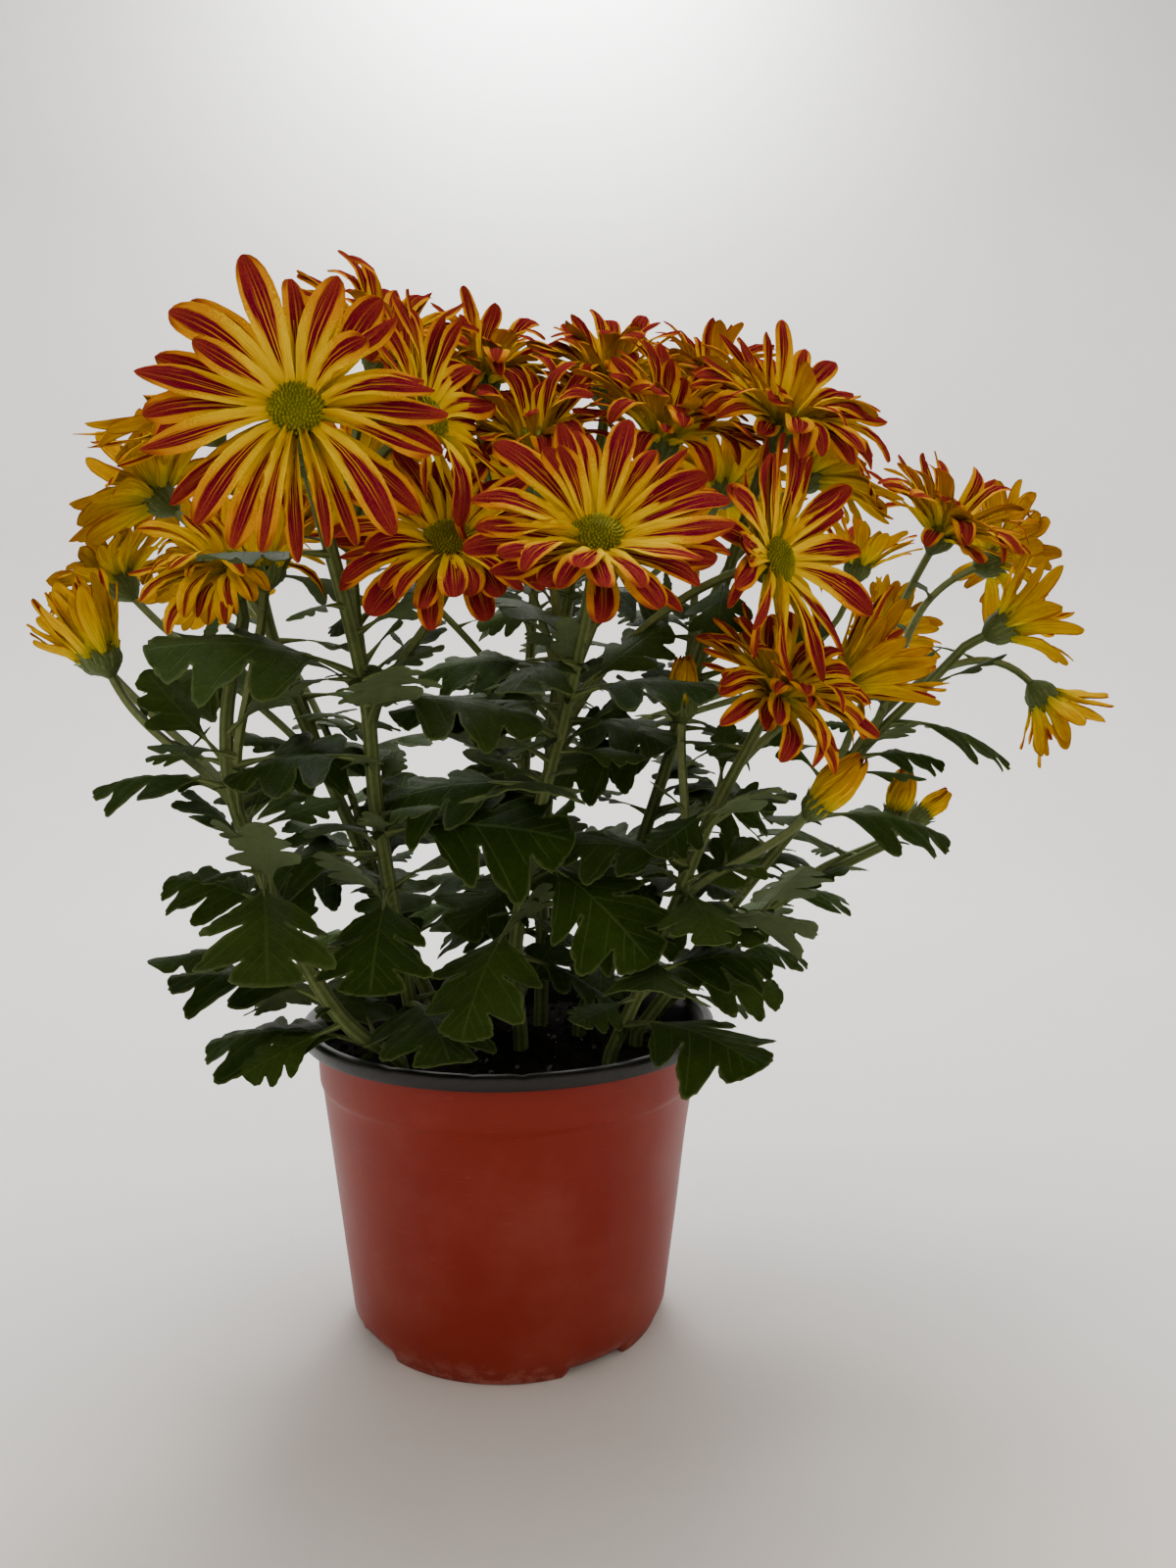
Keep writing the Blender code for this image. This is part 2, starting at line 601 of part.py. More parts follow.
def compact(points, faces):
    """The faces with only the points that they use."""
    used = sorted({index for face in faces for index in face})
    places = {index: place for place, index in enumerate(used)}
    return [points[index] for index in used], [tuple(places[index] for index in face) for face in faces]


def leaf_pieces(shoot, neighbours, owner, stems):
    """The shoot's leaves, each turned or shortened until it is clear of other nodes, stalks and leaves."""
    route = shoot_route(shoot)
    own = Neighbours()
    for points, faces in stems:
        own.add("stems", points, faces)
    pieces = []
    for share, bearing, rise, length, roll in shoot.leaves:
        root, _ = along(route[1:], share)
        for turn, lift, size in LEAF_TRIES:
            points, faces, blade_faces = leaf_shape(root, bearing + turn, rise + lift,
                                                    length * size * MM, roll)
            blade = compact(points, blade_faces)
            if own.crowds(*blade) or neighbours.crowds(points, faces, owners_left_out=(owner,)):
                continue
            own.add("leaves", *blade)
            pieces.append((points, faces))
            break
        else:
            print("No room for a leaf of", shoot.name, share)
    return pieces


def joined(name, pieces, colour):
    """One object from closed pieces that run into each other."""
    first = add_object(name, *pieces[0], colour)
    others = bpy.data.collections.new("pieces of " + name)
    bpy.context.scene.collection.children.link(others)
    for number, (points, faces) in enumerate(pieces[1:]):
        piece = add_object(f"{name}_piece_{number}", points, faces, colour)
        bpy.context.scene.collection.objects.unlink(piece)
        others.objects.link(piece)
    join = first.modifiers.new("Join", "BOOLEAN")
    join.operation = "UNION"
    join.operand_type = "COLLECTION"
    join.collection = others
    join.solver = "EXACT"
    bpy.context.view_layer.objects.active = first
    bpy.ops.object.modifier_apply(modifier=join.name)
    for piece in list(others.objects):
        bpy.data.objects.remove(piece)
    bpy.data.collections.remove(others)
    return first


# Blooms

def bloom_frame(bloom):
    """The bloom's middle, the way that it faces, and the two directions of its face."""
    facing = heading(bloom.bearing, bloom.rise)
    side = heading(bloom.bearing + 90, 0)
    return in_metres(bloom.place), facing, side, facing.cross(side).normalized()


def ray_line(bloom, turn, rise, length, start_radius, start_height, shares):
    """Middle points and directions of a ray at the given shares of its length.

    The higher it stands over its bloom's middle, the less it bends back.
    """
    middle, facing, side, up = bloom_frame(bloom)
    outward = side * math.cos(turn) + up * math.sin(turn)
    place = middle + outward * start_radius + facing * start_height
    curl = bloom.curl * (1 - UPRIGHT * max(0, math.sin(turn)))
    marks = [round(share * RAY_STEPS) for share in shares]
    found = []
    for step in range(1, RAY_STEPS + 1):
        share = (step - 0.5) / RAY_STEPS
        angle = math.radians(rise - curl * share ** CURL_POWER)
        ahead = outward * math.cos(angle) + facing * math.sin(angle)
        ahead = (ahead - Vector((0, 0, bloom.sag * share))).normalized()
        place = place + ahead * (length / RAY_STEPS)
        if step in marks:
            found.append((place.copy(), ahead))
    return found, outward, facing


def ray_sections(bloom, turn, rise, length, upper):
    """The outer sections of a ray as point triples (left, right, keel), and its tip."""
    stations = UPPER_STATIONS if upper else LOWER_STATIONS
    line, outward, facing = ray_line(bloom, turn, rise, length, HUB_RADIUS, 0 if upper else -HUB_DEPTH,
                                     [share for share, _ in stations] + [1])
    across = facing.cross(outward).normalized()
    width = min(RAY_WIDTH, bloom.radius * MM * RAY_WIDTH_SHARE)
    sections = []
    for (place, ahead), (_, share) in zip(line, stations):
        normal = ahead.cross(across).normalized()
        keel = place + normal * (-KEEL if upper else KEEL)
        sections.append((place - across * width * share / 2, place + across * width * share / 2, keel))
    return sections, line[-1][0]


def ray_faces(base, first, sections_count):
    """Faces of a ray that grows from the hub's corners base and whose own points start at index first."""
    rings = [base] + [tuple(range(first + 3 * k, first + 3 * k + 3)) for k in range(sections_count)]
    tip = first + 3 * sections_count
    faces = []
    for low, high in zip(rings, rings[1:]):
        for k in range(3):
            after = (k + 1) % 3
            faces.append((low[k], low[after], high[after]))
            faces.append((low[k], high[after], high[k]))
    for k in range(3):
        faces.append((rings[-1][k], rings[-1][(k + 1) % 3], tip))
    return faces


def make_rays(bloom, neighbours):
    """A bloom's two rings of rays, grown out of the side of a low toothed hub."""
    name = "rays_" + bloom.name
    rng = random.Random(bloom.name)
    middle, facing, side, up = bloom_frame(bloom)
    count = bloom.rays
    points = []
    for height, offset, radius in ((0, 0, HUB_RADIUS), (-HUB_DEPTH, 0.5, HUB_RADIUS - HUB_TAPER)):
        for k in range(count):
            turn = math.tau * (k + offset) / count
            points.append(middle + (side * math.cos(turn) + up * math.sin(turn)) * radius + facing * height)
    top, low = list(range(count)), list(range(count, 2 * count))
    faces = [tuple(top), tuple(low)]
    own = Neighbours()
    for ring, upper in enumerate((True, False)):
        for k in range(count):
            after = (k + 1) % count
            base = (top[k], top[after], low[k]) if upper else (low[k], low[after], top[after])
            turn = math.tau * (k + (0.5 if upper else 1.0)) / count
            wander, spread = rng.uniform(-WANDER, WANDER), rng.uniform(*SPREAD)
            grown = False
            for lift, share in RAY_TRIES:
                rise = bloom.cup + wander + lift - (0 if upper else RING_GAP)
                length = (bloom.radius * MM - HUB_RADIUS) * spread * share
                sections, tip = ray_sections(bloom, turn, rise, length, upper)
                ray = [p for section in sections for p in section] + [tip]
                whole = [points[b] for b in base] + ray
                ray_mesh = ray_faces((0, 1, 2), 3, len(sections))
                outer = ray_faces((0, 1, 2), 3, len(sections) - 1)
                if neighbours.crowds(whole, ray_mesh, owners_left_out=(name,), probes=ray):
                    continue
                if len(outer) > 3 and own.crowds(ray, outer):
                    continue
                grown = True
                break
            if not grown:
                faces.append(base)
                continue
            faces += ray_faces(base, len(points), len(sections))
            points += ray
            own.add(name, ray, outer)
            neighbours.add(name, whole, ray_mesh)
    add_object(name, points, faces, "ray yellow")


def closed_levels(levels, sides):
    """Faces of a closed shape: level rings of sides points each, a flat start and a pointed end."""
    faces = [tuple(reversed(range(sides)))]
    for level in range(levels - 1):
        low, high = level * sides, (level + 1) * sides
        for k in range(sides):
            after = (k + 1) % sides
            faces.append((low + k, low + after, high + after))
            faces.append((low + k, high + after, high + k))
    last, tip = (levels - 1) * sides, levels * sides
    return faces + [(last + k, last + (k + 1) % sides, tip) for k in range(sides)]


def make_disc(bloom, neighbours):
    """The low green dome in the middle of an open bloom, which stands on the hub."""
    middle, facing, side, up = bloom_frame(bloom)
    base = middle + facing * GAP
    points = []
    for reach, lift in DISC_LEVELS:
        for k in range(DISC_SIDES):
            turn = math.tau * k / DISC_SIDES
            outward = side * math.cos(turn) + up * math.sin(turn)
            points.append(base + outward * DISC_RADIUS * reach + facing * DISC_HEIGHT * lift)
    points.append(base + facing * DISC_HEIGHT)
    faces = closed_levels(len(DISC_LEVELS), DISC_SIDES)
    add_object("disc_" + bloom.name, points, faces, "disc green")
    neighbours.add("disc_" + bloom.name, points, faces)


def make_bud(bud, neighbours):
    """A bud's furled rays: a pointed egg with a twisted, fluted side."""
    name, place, bearing, rise, length = bud
    facing = heading(bearing, rise)
    side = heading(bearing + 90, 0)
    up = facing.cross(side)
    start = in_metres(place) + facing * GAP
    around = BUD_FLUTES * 2
    points = []
    for level, (share, girth) in enumerate(BUD_LEVELS):
        for k in range(around):
            turn = math.tau * k / around + BUD_TWIST * level
            grooved = level > 0 and k % 2 == 0
            radius = length * MM * BUD_GIRTH * girth * (FLUTE_SHARE if grooved else 1)
            outward = side * math.cos(turn) + up * math.sin(turn)
            points.append(start + outward * radius + facing * length * MM * share)
    points.append(start + facing * length * MM)
    faces = closed_levels(len(BUD_LEVELS), around)
    add_object("bud_" + name, points, faces, "ray yellow")
    neighbours.add("bud_" + name, points, faces)


def main():
    clear_scene()
    neighbours = Neighbours()
    make_pot(neighbours)
    make_soil(neighbours)
    stems = {shoot.name: stem_pieces(shoot) for shoot in SHOOTS}
    for shoot in SHOOTS:
        for points, faces in stems[shoot.name]:
            if neighbours.crowds(points, faces, owners_left_out=("shoot_" + shoot.name, "potting_mix")):
                print("A stalk crosses another shoot:", shoot.name)
        for points, faces in stems[shoot.name]:
            neighbours.add("shoot_" + shoot.name, points, faces)
    for bud in BUDS:
        make_bud(bud, neighbours)
    for bloom in BLOOMS:
        if bloom.disc:
            make_disc(bloom, neighbours)
    for bloom in BLOOMS:
        make_rays(bloom, neighbours)
    for shoot in SHOOTS:
        owner = "shoot_" + shoot.name
        leaves = leaf_pieces(shoot, neighbours, owner, stems[shoot.name])
        for points, faces in leaves:
            neighbours.add(owner, points, faces)
        joined(owner, stems[shoot.name] + leaves, "stem green")


main()
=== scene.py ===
import math
import random
from collections import namedtuple

import bmesh
import bpy
import numpy as np
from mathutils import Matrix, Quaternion, Vector
from mathutils.bvhtree import BVHTree
from mathutils.geometry import delaunay_2d_cdt
from mathutils.kdtree import KDTree


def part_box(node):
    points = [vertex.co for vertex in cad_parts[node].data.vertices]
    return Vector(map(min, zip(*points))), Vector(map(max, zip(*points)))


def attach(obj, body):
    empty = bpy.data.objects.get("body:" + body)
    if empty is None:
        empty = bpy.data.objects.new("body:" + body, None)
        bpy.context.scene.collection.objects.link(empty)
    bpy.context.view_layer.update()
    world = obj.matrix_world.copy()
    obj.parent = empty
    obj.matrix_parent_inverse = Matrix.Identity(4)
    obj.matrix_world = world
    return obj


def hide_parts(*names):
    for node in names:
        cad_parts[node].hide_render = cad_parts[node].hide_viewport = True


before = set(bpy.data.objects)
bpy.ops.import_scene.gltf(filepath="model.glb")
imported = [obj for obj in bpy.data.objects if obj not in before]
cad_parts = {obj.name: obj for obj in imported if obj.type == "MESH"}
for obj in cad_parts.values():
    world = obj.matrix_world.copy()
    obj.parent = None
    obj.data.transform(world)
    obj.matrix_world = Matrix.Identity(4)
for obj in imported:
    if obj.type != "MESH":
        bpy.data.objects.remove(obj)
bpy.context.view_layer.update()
mm = 0.001

# The plant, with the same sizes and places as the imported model

plant = {
    "soilTop": 97 * mm, "soilCrown": 3 * mm, "holeDepth": 24 * mm, "gap": 0.3 * mm,
    "hubRadius": 6 * mm, "hubDepth": 3.2 * mm, "raySteps": 12, "curlPower": 1.4, "upright": 0.8,
    "wander": 4, "spread": (0.86, 1.06), "ringGap": 11,
    "calyxDepth": 5.5 * mm, "budCalyx": 0.8, "neckLength": 9 * mm, "collarLift": 3 * mm,
    "leafFold": 18, "leafDroop": 46, "petioleShare": 0.24, "leafThickness": 0.8 * mm,
}

bloomRow = namedtuple("bloomRow", "name place bearing rise radius rays cup curl sag disc redness")
shootRow = namedtuple("shootRow", "name foot via endsIn branches leaves")
budRow = namedtuple("budRow", "name base bearing rise length")

# Each bloom: middle in millimetres, bearing and rise of its face, radius in millimetres, rays in each of its
# two rings, how far they stand up, bend back and hang, whether the disc shows, and how red it is.
blooms = (
    bloomRow("front_left", (-53, -118, 297), 6, 14, 38, 12, 20, 26, 0.42, True, 0.75),
    bloomRow("front_middle", (24, -108, 268), 2, 40, 38, 12, 30, 28, 0.22, True, 0.85),
    bloomRow("mid_left", (-17, -84, 270), -2, 38, 35, 11, 24, 40, 0.34, True, 0.90),
    bloomRow("right_front", (84, -62, 268), 44, 8, 38, 11, 26, 18, 0.30, True, 0.86),
    bloomRow("low_right", (86, -62, 228), 34, 50, 34, 9, 32, 40, 0.20, False, 0.70),
    bloomRow("low_right_half", (117, -34, 233), 72, 34, 36, 6, 62, 4, 0.05, False, 0.60),
    bloomRow("top_right", (89, -48, 315), 30, 54, 38, 10, 34, 42, 0.20, True, 0.75),
    bloomRow("right_high", (169, 20, 292), 40, 56, 38, 9, 38, 40, 0.18, False, 0.80),
    bloomRow("right_behind", (204, 52, 284), 100, 20, 34, 7, 30, 36, 0.30, False, 0.60),
    bloomRow("right_half", (190, 6, 254), 78, 26, 32, 6, 56, 16, 0.12, False, 0.30),
    bloomRow("right_nodding", (216, 28, 224), 84, -50, 27, 6, 58, 4, 0.00, False, 0.50),
    bloomRow("back_right_cup", (160, 98, 290), 70, 78, 30, 7, 52, 20, 0.10, False, 0.60),
    bloomRow("back_right_low", (176, 112, 258), 120, 30, 28, 7, 40, 30, 0.20, False, 0.60),
    bloomRow("right_inner", (112, -2, 309), 84, 40, 33, 8, 36, 46, 0.26, False, 0.60),
    bloomRow("left_front", (-84, -57, 266), -8, 62, 32, 9, 26, 40, 0.30, True, 0.35),
    bloomRow("left_half", (-137, -22, 243), -60, 68, 30, 6, 82, 0, 0.02, False, 0.25),
    bloomRow("left_half_low", (-150, 6, 243), -76, 50, 25, 6, 82, 0, 0.02, False, 0.30),
    bloomRow("left_behind", (-128, 14, 300), -104, 40, 34, 7, 28, 38, 0.30, False, 0.30),
    bloomRow("upper_left", (-102, -24, 318), -72, 46, 34, 9, 32, 34, 0.26, True, 0.40),
    bloomRow("left_outer", (-150, 36, 272), -96, 48, 30, 7, 34, 30, 0.24, False, 0.35),
    bloomRow("left_cup", (-72, -66, 268), 22, 74, 27, 6, 68, 6, 0.04, False, 0.60),
    bloomRow("top_left", (-38, -42, 336), 46, 52, 35, 9, 34, 36, 0.24, True, 0.78),
    bloomRow("top_middle_left", (-8, -14, 338), 20, 70, 35, 9, 36, 44, 0.24, True, 0.80),
    bloomRow("top_middle", (36, -2, 340), 8, 66, 35, 9, 38, 40, 0.22, True, 0.80),
    bloomRow("top_back", (78, 28, 346), 12, 72, 35, 8, 42, 38, 0.22, False, 0.80),
    bloomRow("centre_high", (50, -48, 311), 24, 60, 35, 8, 42, 36, 0.20, False, 0.82),
    bloomRow("centre_left_high", (8, -44, 308), -14, 62, 33, 8, 40, 38, 0.22, False, 0.95),
    bloomRow("left_high", (-22, -82, 304), 64, 22, 35, 8, 28, 34, 0.30, False, 0.85),
    bloomRow("back_left", (-66, 74, 316), -150, 54, 35, 8, 28, 40, 0.26, True, 0.60),
    bloomRow("back_middle", (14, 96, 322), 178, 50, 36, 8, 28, 40, 0.26, True, 0.65),
    bloomRow("back_right", (96, 84, 318), 140, 46, 35, 8, 28, 38, 0.28, False, 0.65),
    bloomRow("back_left_low", (-122, 86, 276), -130, 34, 33, 7, 28, 38, 0.30, False, 0.55),
)

# Each bud: its base in millimetres, its bearing and rise, and its length in millimetres.
buds = (
    budRow("right_bud", (102, -46, 190), 64, 48, 21),
    budRow("far_bud_left", (154, 26, 181), 40, 76, 17),
    budRow("far_bud_right", (168, 36, 179), 88, 40, 14),
    budRow("middle_bud", (56, -50, 223), 10, 84, 15),
)

# Each shoot: its foot and the points that it passes in millimetres, the bloom or bud at its tip, its branches
# as (share of the way up, bloom or bud), and its leaves as (share, bearing, rise, length, roll).
shoots = (
    shootRow("left_front", (-36, -38), ((-58, -50, 128), (-84, -50, 184), (-88, -52, 216)), "left_front",
             ((0.56, "left_half"), (0.48, "left_half_low"), (0.62, "left_cup")),
             ((0.06, -96, 22, 62, 14), (0.20, -84, 34, 54, 12), (0.32, 96, 12, 40, 40),
              (0.41, -92, 34, 42, 34), (0.67, -86, 22, 44, 16), (0.71, 70, 20, 46, 42))),
    shootRow("middle_left", (-33, -10), ((-36, -24, 130), (-42, -50, 190), (-44, -66, 232)), "front_left",
             ((0.56, "mid_left"), (0.66, "left_high"), (0.60, "top_left")),
             ((0.08, 16, 6, 62, 0), (0.31, -2, -6, 52, 0), (0.37, -84, 8, 56, 30), (0.41, 72, 16, 66, 52),
              (0.53, -96, 16, 56, 16), (0.62, 66, 14, 58, 22), (0.66, -78, 34, 68, 42))),
    shootRow("middle", (4, -12), ((2, -28, 138), (8, -44, 180), (18, -58, 222)), "front_middle",
             ((0.54, "right_front"), (0.60, "centre_high"), (0.66, "centre_left_high")),
             ((0.30, -24, -12, 56, 0), (0.33, 74, 0, 60, 54), (0.43, 36, -10, 60, 40),
              (0.56, -82, 14, 56, 30), (0.66, -64, 30, 56, 24), (0.74, 70, 24, 50, 24),
              (0.82, -30, 10, 40, 0))),
    shootRow("right_front", (34, -34), ((50, -44, 144), (64, -53, 184)), "low_right",
             ((0.52, "middle_bud"), (0.40, "right_bud"), (0.66, "low_right_half")),
             ((0.10, 34, 22, 62, 20), (0.26, 88, 26, 46, 24), (0.38, 74, 30, 54, -34),
              (0.60, -72, 30, 48, 30), (0.70, 30, 50, 38, 0))),
    shootRow("right", (46, -8), ((88, -2, 156), (130, 8, 202), (158, 8, 230)), "right_half",
             ((0.66, "right_nodding"), (0.60, "right_high"), (0.72, "right_behind")),
             ((0.30, -40, 24, 48, 20), (0.44, 150, 24, 50, 20), (0.52, 84, 14, 60, 20),
              (0.68, 80, 20, 36, 20), (0.78, 94, 6, 56, 18))),
    shootRow("low_right", (56, 18), ((92, 26, 134), (124, 30, 154)), "far_bud_left",
             ((0.62, "far_bud_right"),),
             ((0.14, 150, 26, 46, 20), (0.32, 100, 10, 40, 14), (0.56, 118, 20, 42, 20))),
    shootRow("centre", (12, 18), ((14, 16, 180), (22, 4, 262)), "top_middle",
             ((0.54, "top_middle_left"),),
             ((0.14, -150, 24, 54, 20), (0.28, 60, 20, 58, 40), (0.38, -40, 18, 56, 30),
              (0.50, 40, 16, 56, 30), (0.60, -84, 18, 54, 30), (0.72, 66, 14, 48, 30))),
    shootRow("centre_right", (26, 6), ((48, 0, 170), (70, -14, 246)), "top_right",
             ((0.50, "right_inner"), (0.56, "top_back")),
             ((0.26, 20, 14, 58, 0), (0.40, 96, 20, 54, 40), (0.52, -60, 20, 52, 36),
              (0.64, 60, 22, 50, 30))),
    shootRow("left_back", (-28, 24), ((-58, 26, 170), (-84, 6, 244)), "upper_left",
             ((0.34, "left_outer"), (0.48, "left_behind"), (0.24, "back_left_low")),
             ((0.12, -120, 20, 58, 24), (0.28, -40, 14, 56, 30), (0.40, -110, 22, 54, 30),
              (0.52, 30, 14, 52, 20), (0.64, -80, 14, 48, 36))),
    shootRow("back", (2, 46), ((6, 66, 180), (10, 84, 250)), "back_middle",
             ((0.26, "back_right_low"), (0.32, "back_right_cup"), (0.50, "back_right"), (0.48, "back_left")),
             ((0.06, 178, 16, 60, 0), (0.14, -110, 24, 58, 20), (0.22, 112, 24, 58, 20),
              (0.40, -160, 22, 54, 0), (0.50, 96, 20, 52, 24), (0.60, 150, 20, 48, 0))),
)

# Extra rise and share of its length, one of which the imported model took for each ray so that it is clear,
# and extra bearing, extra rise and share of its length in the same way for each leaf.
rayTries = ((0, 1), (7, 1), (-7, 1), (12, 0.9), (-12, 0.9), (16, 0.75), (-14, 0.75), (0, 0.6), (18, 0.5))
leafTries = (
    (0, 0, 1), (14, 0, 1), (-14, 0, 1), (0, -14, 1), (0, 14, 1), (26, -8, 0.95), (-26, -8, 0.95),
    (22, 12, 0.9), (-22, 12, 0.9), (40, 0, 0.85), (-40, 0, 0.85), (0, -24, 0.8), (0, 22, 0.75),
    (60, 0, 0.75), (-60, 0, 0.75), (90, 0, 0.7), (-90, 0, 0.7), (30, 20, 0.6), (-30, 20, 0.6),
)


def heading(bearing, rise):
    b, r = math.radians(bearing), math.radians(rise)
    return Vector((math.sin(b) * math.cos(r), -math.cos(b) * math.cos(r), math.sin(r)))


def directionsOf(thing):
    # the way that a bloom or bud faces, and the level and the steep direction across it
    facing, side = heading(thing.bearing, thing.rise), heading(thing.bearing + 90, 0)
    return facing, side, facing.cross(side).normalized()


def turned(side, up, turn):
    return side * math.cos(turn) + up * math.sin(turn)


def scaled(place):
    return Vector(place) * mm


def asArray(vectors):
    return np.array([tuple(v) for v in vectors])


def unit(rows):
    return rows / np.linalg.norm(rows, axis=-1, keepdims=True)


def readAt(wanted, given, rows):
    # rows of numbers, given at some places, read at others
    return np.stack([np.interp(wanted, given, rows[:, k]) for k in range(rows.shape[1])], axis=1)


def nodeTree(nodeName):
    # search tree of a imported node's corners
    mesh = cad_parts[nodeName].data
    tree = KDTree(len(mesh.vertices))
    for index, vertex in enumerate(mesh.vertices):
        tree.insert(vertex.co, index)
    tree.balance()
    return tree


def surfaceTree(nodeName):
    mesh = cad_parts[nodeName].data
    return BVHTree.FromPolygons([v.co for v in mesh.vertices], [tuple(p.vertices) for p in mesh.polygons])


surfaces = {name: surfaceTree(name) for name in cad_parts}
boxes = {name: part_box(name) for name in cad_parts}


# Modelling helpers: one form is modelled, and its copies are bent and gathered in a heap

def addObject(name, data):
    # a new object, the only one selected
    made = bpy.data.objects.new(name, data)
    bpy.context.scene.collection.objects.link(made)
    bpy.ops.object.select_all(action="DESELECT")
    bpy.context.view_layer.objects.active = made
    made.select_set(True)
    return made


def pickFaces(obj, test):
    mesh = bmesh.from_edit_mesh(obj.data)
    for face in mesh.faces:
        face.select_set(test(face))
    mesh.select_flush_mode()
    bmesh.update_edit_mesh(obj.data)


def modelTube(sides, segments):
    # a closed tube one unit wide, extruded a level at a time; gives each corner's place round it and level
    bpy.ops.object.select_all(action="DESELECT")
    bpy.ops.mesh.primitive_cylinder_add(vertices=sides, radius=1, depth=1)
    tube = bpy.context.object
    bpy.ops.object.mode_set(mode="EDIT")
    bpy.ops.mesh.select_mode(type="FACE")
    pickFaces(tube, lambda face: face.normal.z > 0.9)
    for _ in range(segments - 1):
        bpy.ops.mesh.extrude_region_move(TRANSFORM_OT_translate={"value": (0, 0, 1)})
    bpy.ops.object.mode_set(mode="OBJECT")
    corners = np.array([v.co for v in tube.data.vertices])
    turns = np.arctan2(corners[:, 1], corners[:, 0])
    ring = np.round(turns / (math.tau / sides)).astype(int) % sides
    level = np.round(corners[:, 2] + 0.5).astype(int)
    # the order that extruding leaves isn't the same each run, so corners and faces are sorted
    order = np.lexsort((ring, level))
    place = np.argsort(order)
    faces = sorted(tuple(place[list(p.vertices)].tolist()) for p in tube.data.polygons)
    bpy.data.objects.remove(tube)
    return {"faces": faces, "sides": sides, "segments": segments, "ring": ring[order], "level": level[order]}


def finishForm(form, flat, under=None):
    # keeps each face's corners, their place on the flat pattern, and whether they are on the underside
    form["corners"] = np.array([index for face in form["faces"] for index in face])
    form["flat"] = np.array(flat, dtype=float)
    form["under"] = np.zeros(len(form["corners"])) if under is None else np.array(under, dtype=float)
    return form


def tubeForm(sides, segments):
    # a plain tube whose flat pattern runs round it and along it
    form = modelTube(sides, segments)
    flat = []
    for face in form["faces"]:
        rings = [int(form["ring"][index]) for index in face]
        wraps = len(face) == 4 and max(rings) - min(rings) > 1
        for index, ring in zip(face, rings):
            place = ring + (sides if wraps and ring == 0 else 0)
            flat.append((place / sides, form["level"][index] / segments))
    return finishForm(form, flat)


def newHeap():
    return {"points": [], "faces": [], "flat": [], "tint": [], "finish": [], "count": 0}


def pour(heap, form, points, chance=0.0, second=0.0, finish=0):
    # adds a bent copy; its tint holds a number of its own, a second one for the whole or each corner, and
    # whether a face is on the underside
    base = heap["count"]
    heap["points"].append(points)
    heap["faces"] += [tuple(index + base for index in face) for face in form["faces"]]
    heap["flat"].append(form["flat"])
    perPoint = isinstance(second, np.ndarray) and len(second) == len(points)
    tint = np.ones((len(form["corners"]), 4))
    tint[:, 0] = chance
    tint[:, 1] = second[form["corners"]] if perPoint else second
    tint[:, 2] = form["under"]
    heap["tint"].append(tint)
    heap["finish"].append(np.full(len(form["faces"]), finish))
    heap["count"] += len(points)


def dress(piece, nodes):
    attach(piece, "root")
    if nodes:
        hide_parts(*nodes)
    return piece


def pieceFromHeap(name, heap, finishes, nodes, sharpAngle=50):
    mesh = bpy.data.meshes.new(name)
    mesh.from_pydata(np.concatenate(heap["points"]).tolist(), [], heap["faces"])
    mesh.uv_layers.new(name="flat").data.foreach_set("uv", np.concatenate(heap["flat"]).ravel())
    tint = mesh.color_attributes.new(name="tint", type="FLOAT_COLOR", domain="CORNER")
    tint.data.foreach_set("color", np.concatenate(heap["tint"]).ravel())
    for finish in finishes:
        mesh.materials.append(finish)
    mesh.polygons.foreach_set("material_index", np.concatenate(heap["finish"]))
    mesh.shade_smooth()
    mesh.set_sharp_from_angle(angle=math.radians(sharpAngle))
    return dress(addObject(name, mesh), nodes)


# Materials

class shaderValue:
    # a socket that gives a value, and takes plain arithmetic with a Math node for each step
    def __init__(self, socket):
        self.socket, self.tree = socket, socket.id_data

    def __add__(self, other):
        return calc("ADD", self, other)

    def __sub__(self, other):
        return calc("SUBTRACT", self, other)

    def __rsub__(self, other):
        return calc("SUBTRACT", other, self)

    def __mul__(self, other):
        return calc("MULTIPLY", self, other)

    def __abs__(self):
        return calc("ABSOLUTE", self)


def feed(socket, value):
    # a socket takes a link, a colour or a number
    if isinstance(value, shaderValue):
        value.tree.links.new(value.socket, socket)
    elif isinstance(value, tuple):
        socket.default_value = (*value, 1)
    else:
        socket.default_value = value


def addNode(tree, kind, values=None, **settings):
    made = tree.nodes.new(kind)
    for setting, value in settings.items():
        setattr(made, setting, value)
    for label, value in (values or {}).items():
        feed(made.inputs[label], value)
    return made


def calc(operation, *values):
    tree = next(value.tree for value in values if isinstance(value, shaderValue))
    made = addNode(tree, "ShaderNodeMath", dict(enumerate(values)), operation=operation)
    return shaderValue(made.outputs[0])


def larger(first, second):
    return calc("MAXIMUM", first, second)


def ramp(value, low, high, start=0.0, end=1.0, easing="SMOOTHSTEP"):
    limits = {"Value": value, "From Min": low, "From Max": high, "To Min": start, "To Max": end}
    made = addNode(value.tree, "ShaderNodeMapRange", limits, interpolation_type=easing)
    return shaderValue(made.outputs["Result"])


def noise(place, scale, detail=2.0, roughness=0.5):
    looks = {"Vector": place, "Scale": scale, "Detail": detail, "Roughness": roughness}
    return shaderValue(addNode(place.tree, "ShaderNodeTexNoise", looks).outputs["Fac"])


def combine(x, y, z):
    return shaderValue(addNode(x.tree, "ShaderNodeCombineXYZ", {0: x, 1: y, 2: z}).outputs[0])


def split(value, kind="XYZ"):
    made = addNode(value.tree, "ShaderNodeSeparate" + kind, {0: value})
    return [shaderValue(socket) for socket in made.outputs]


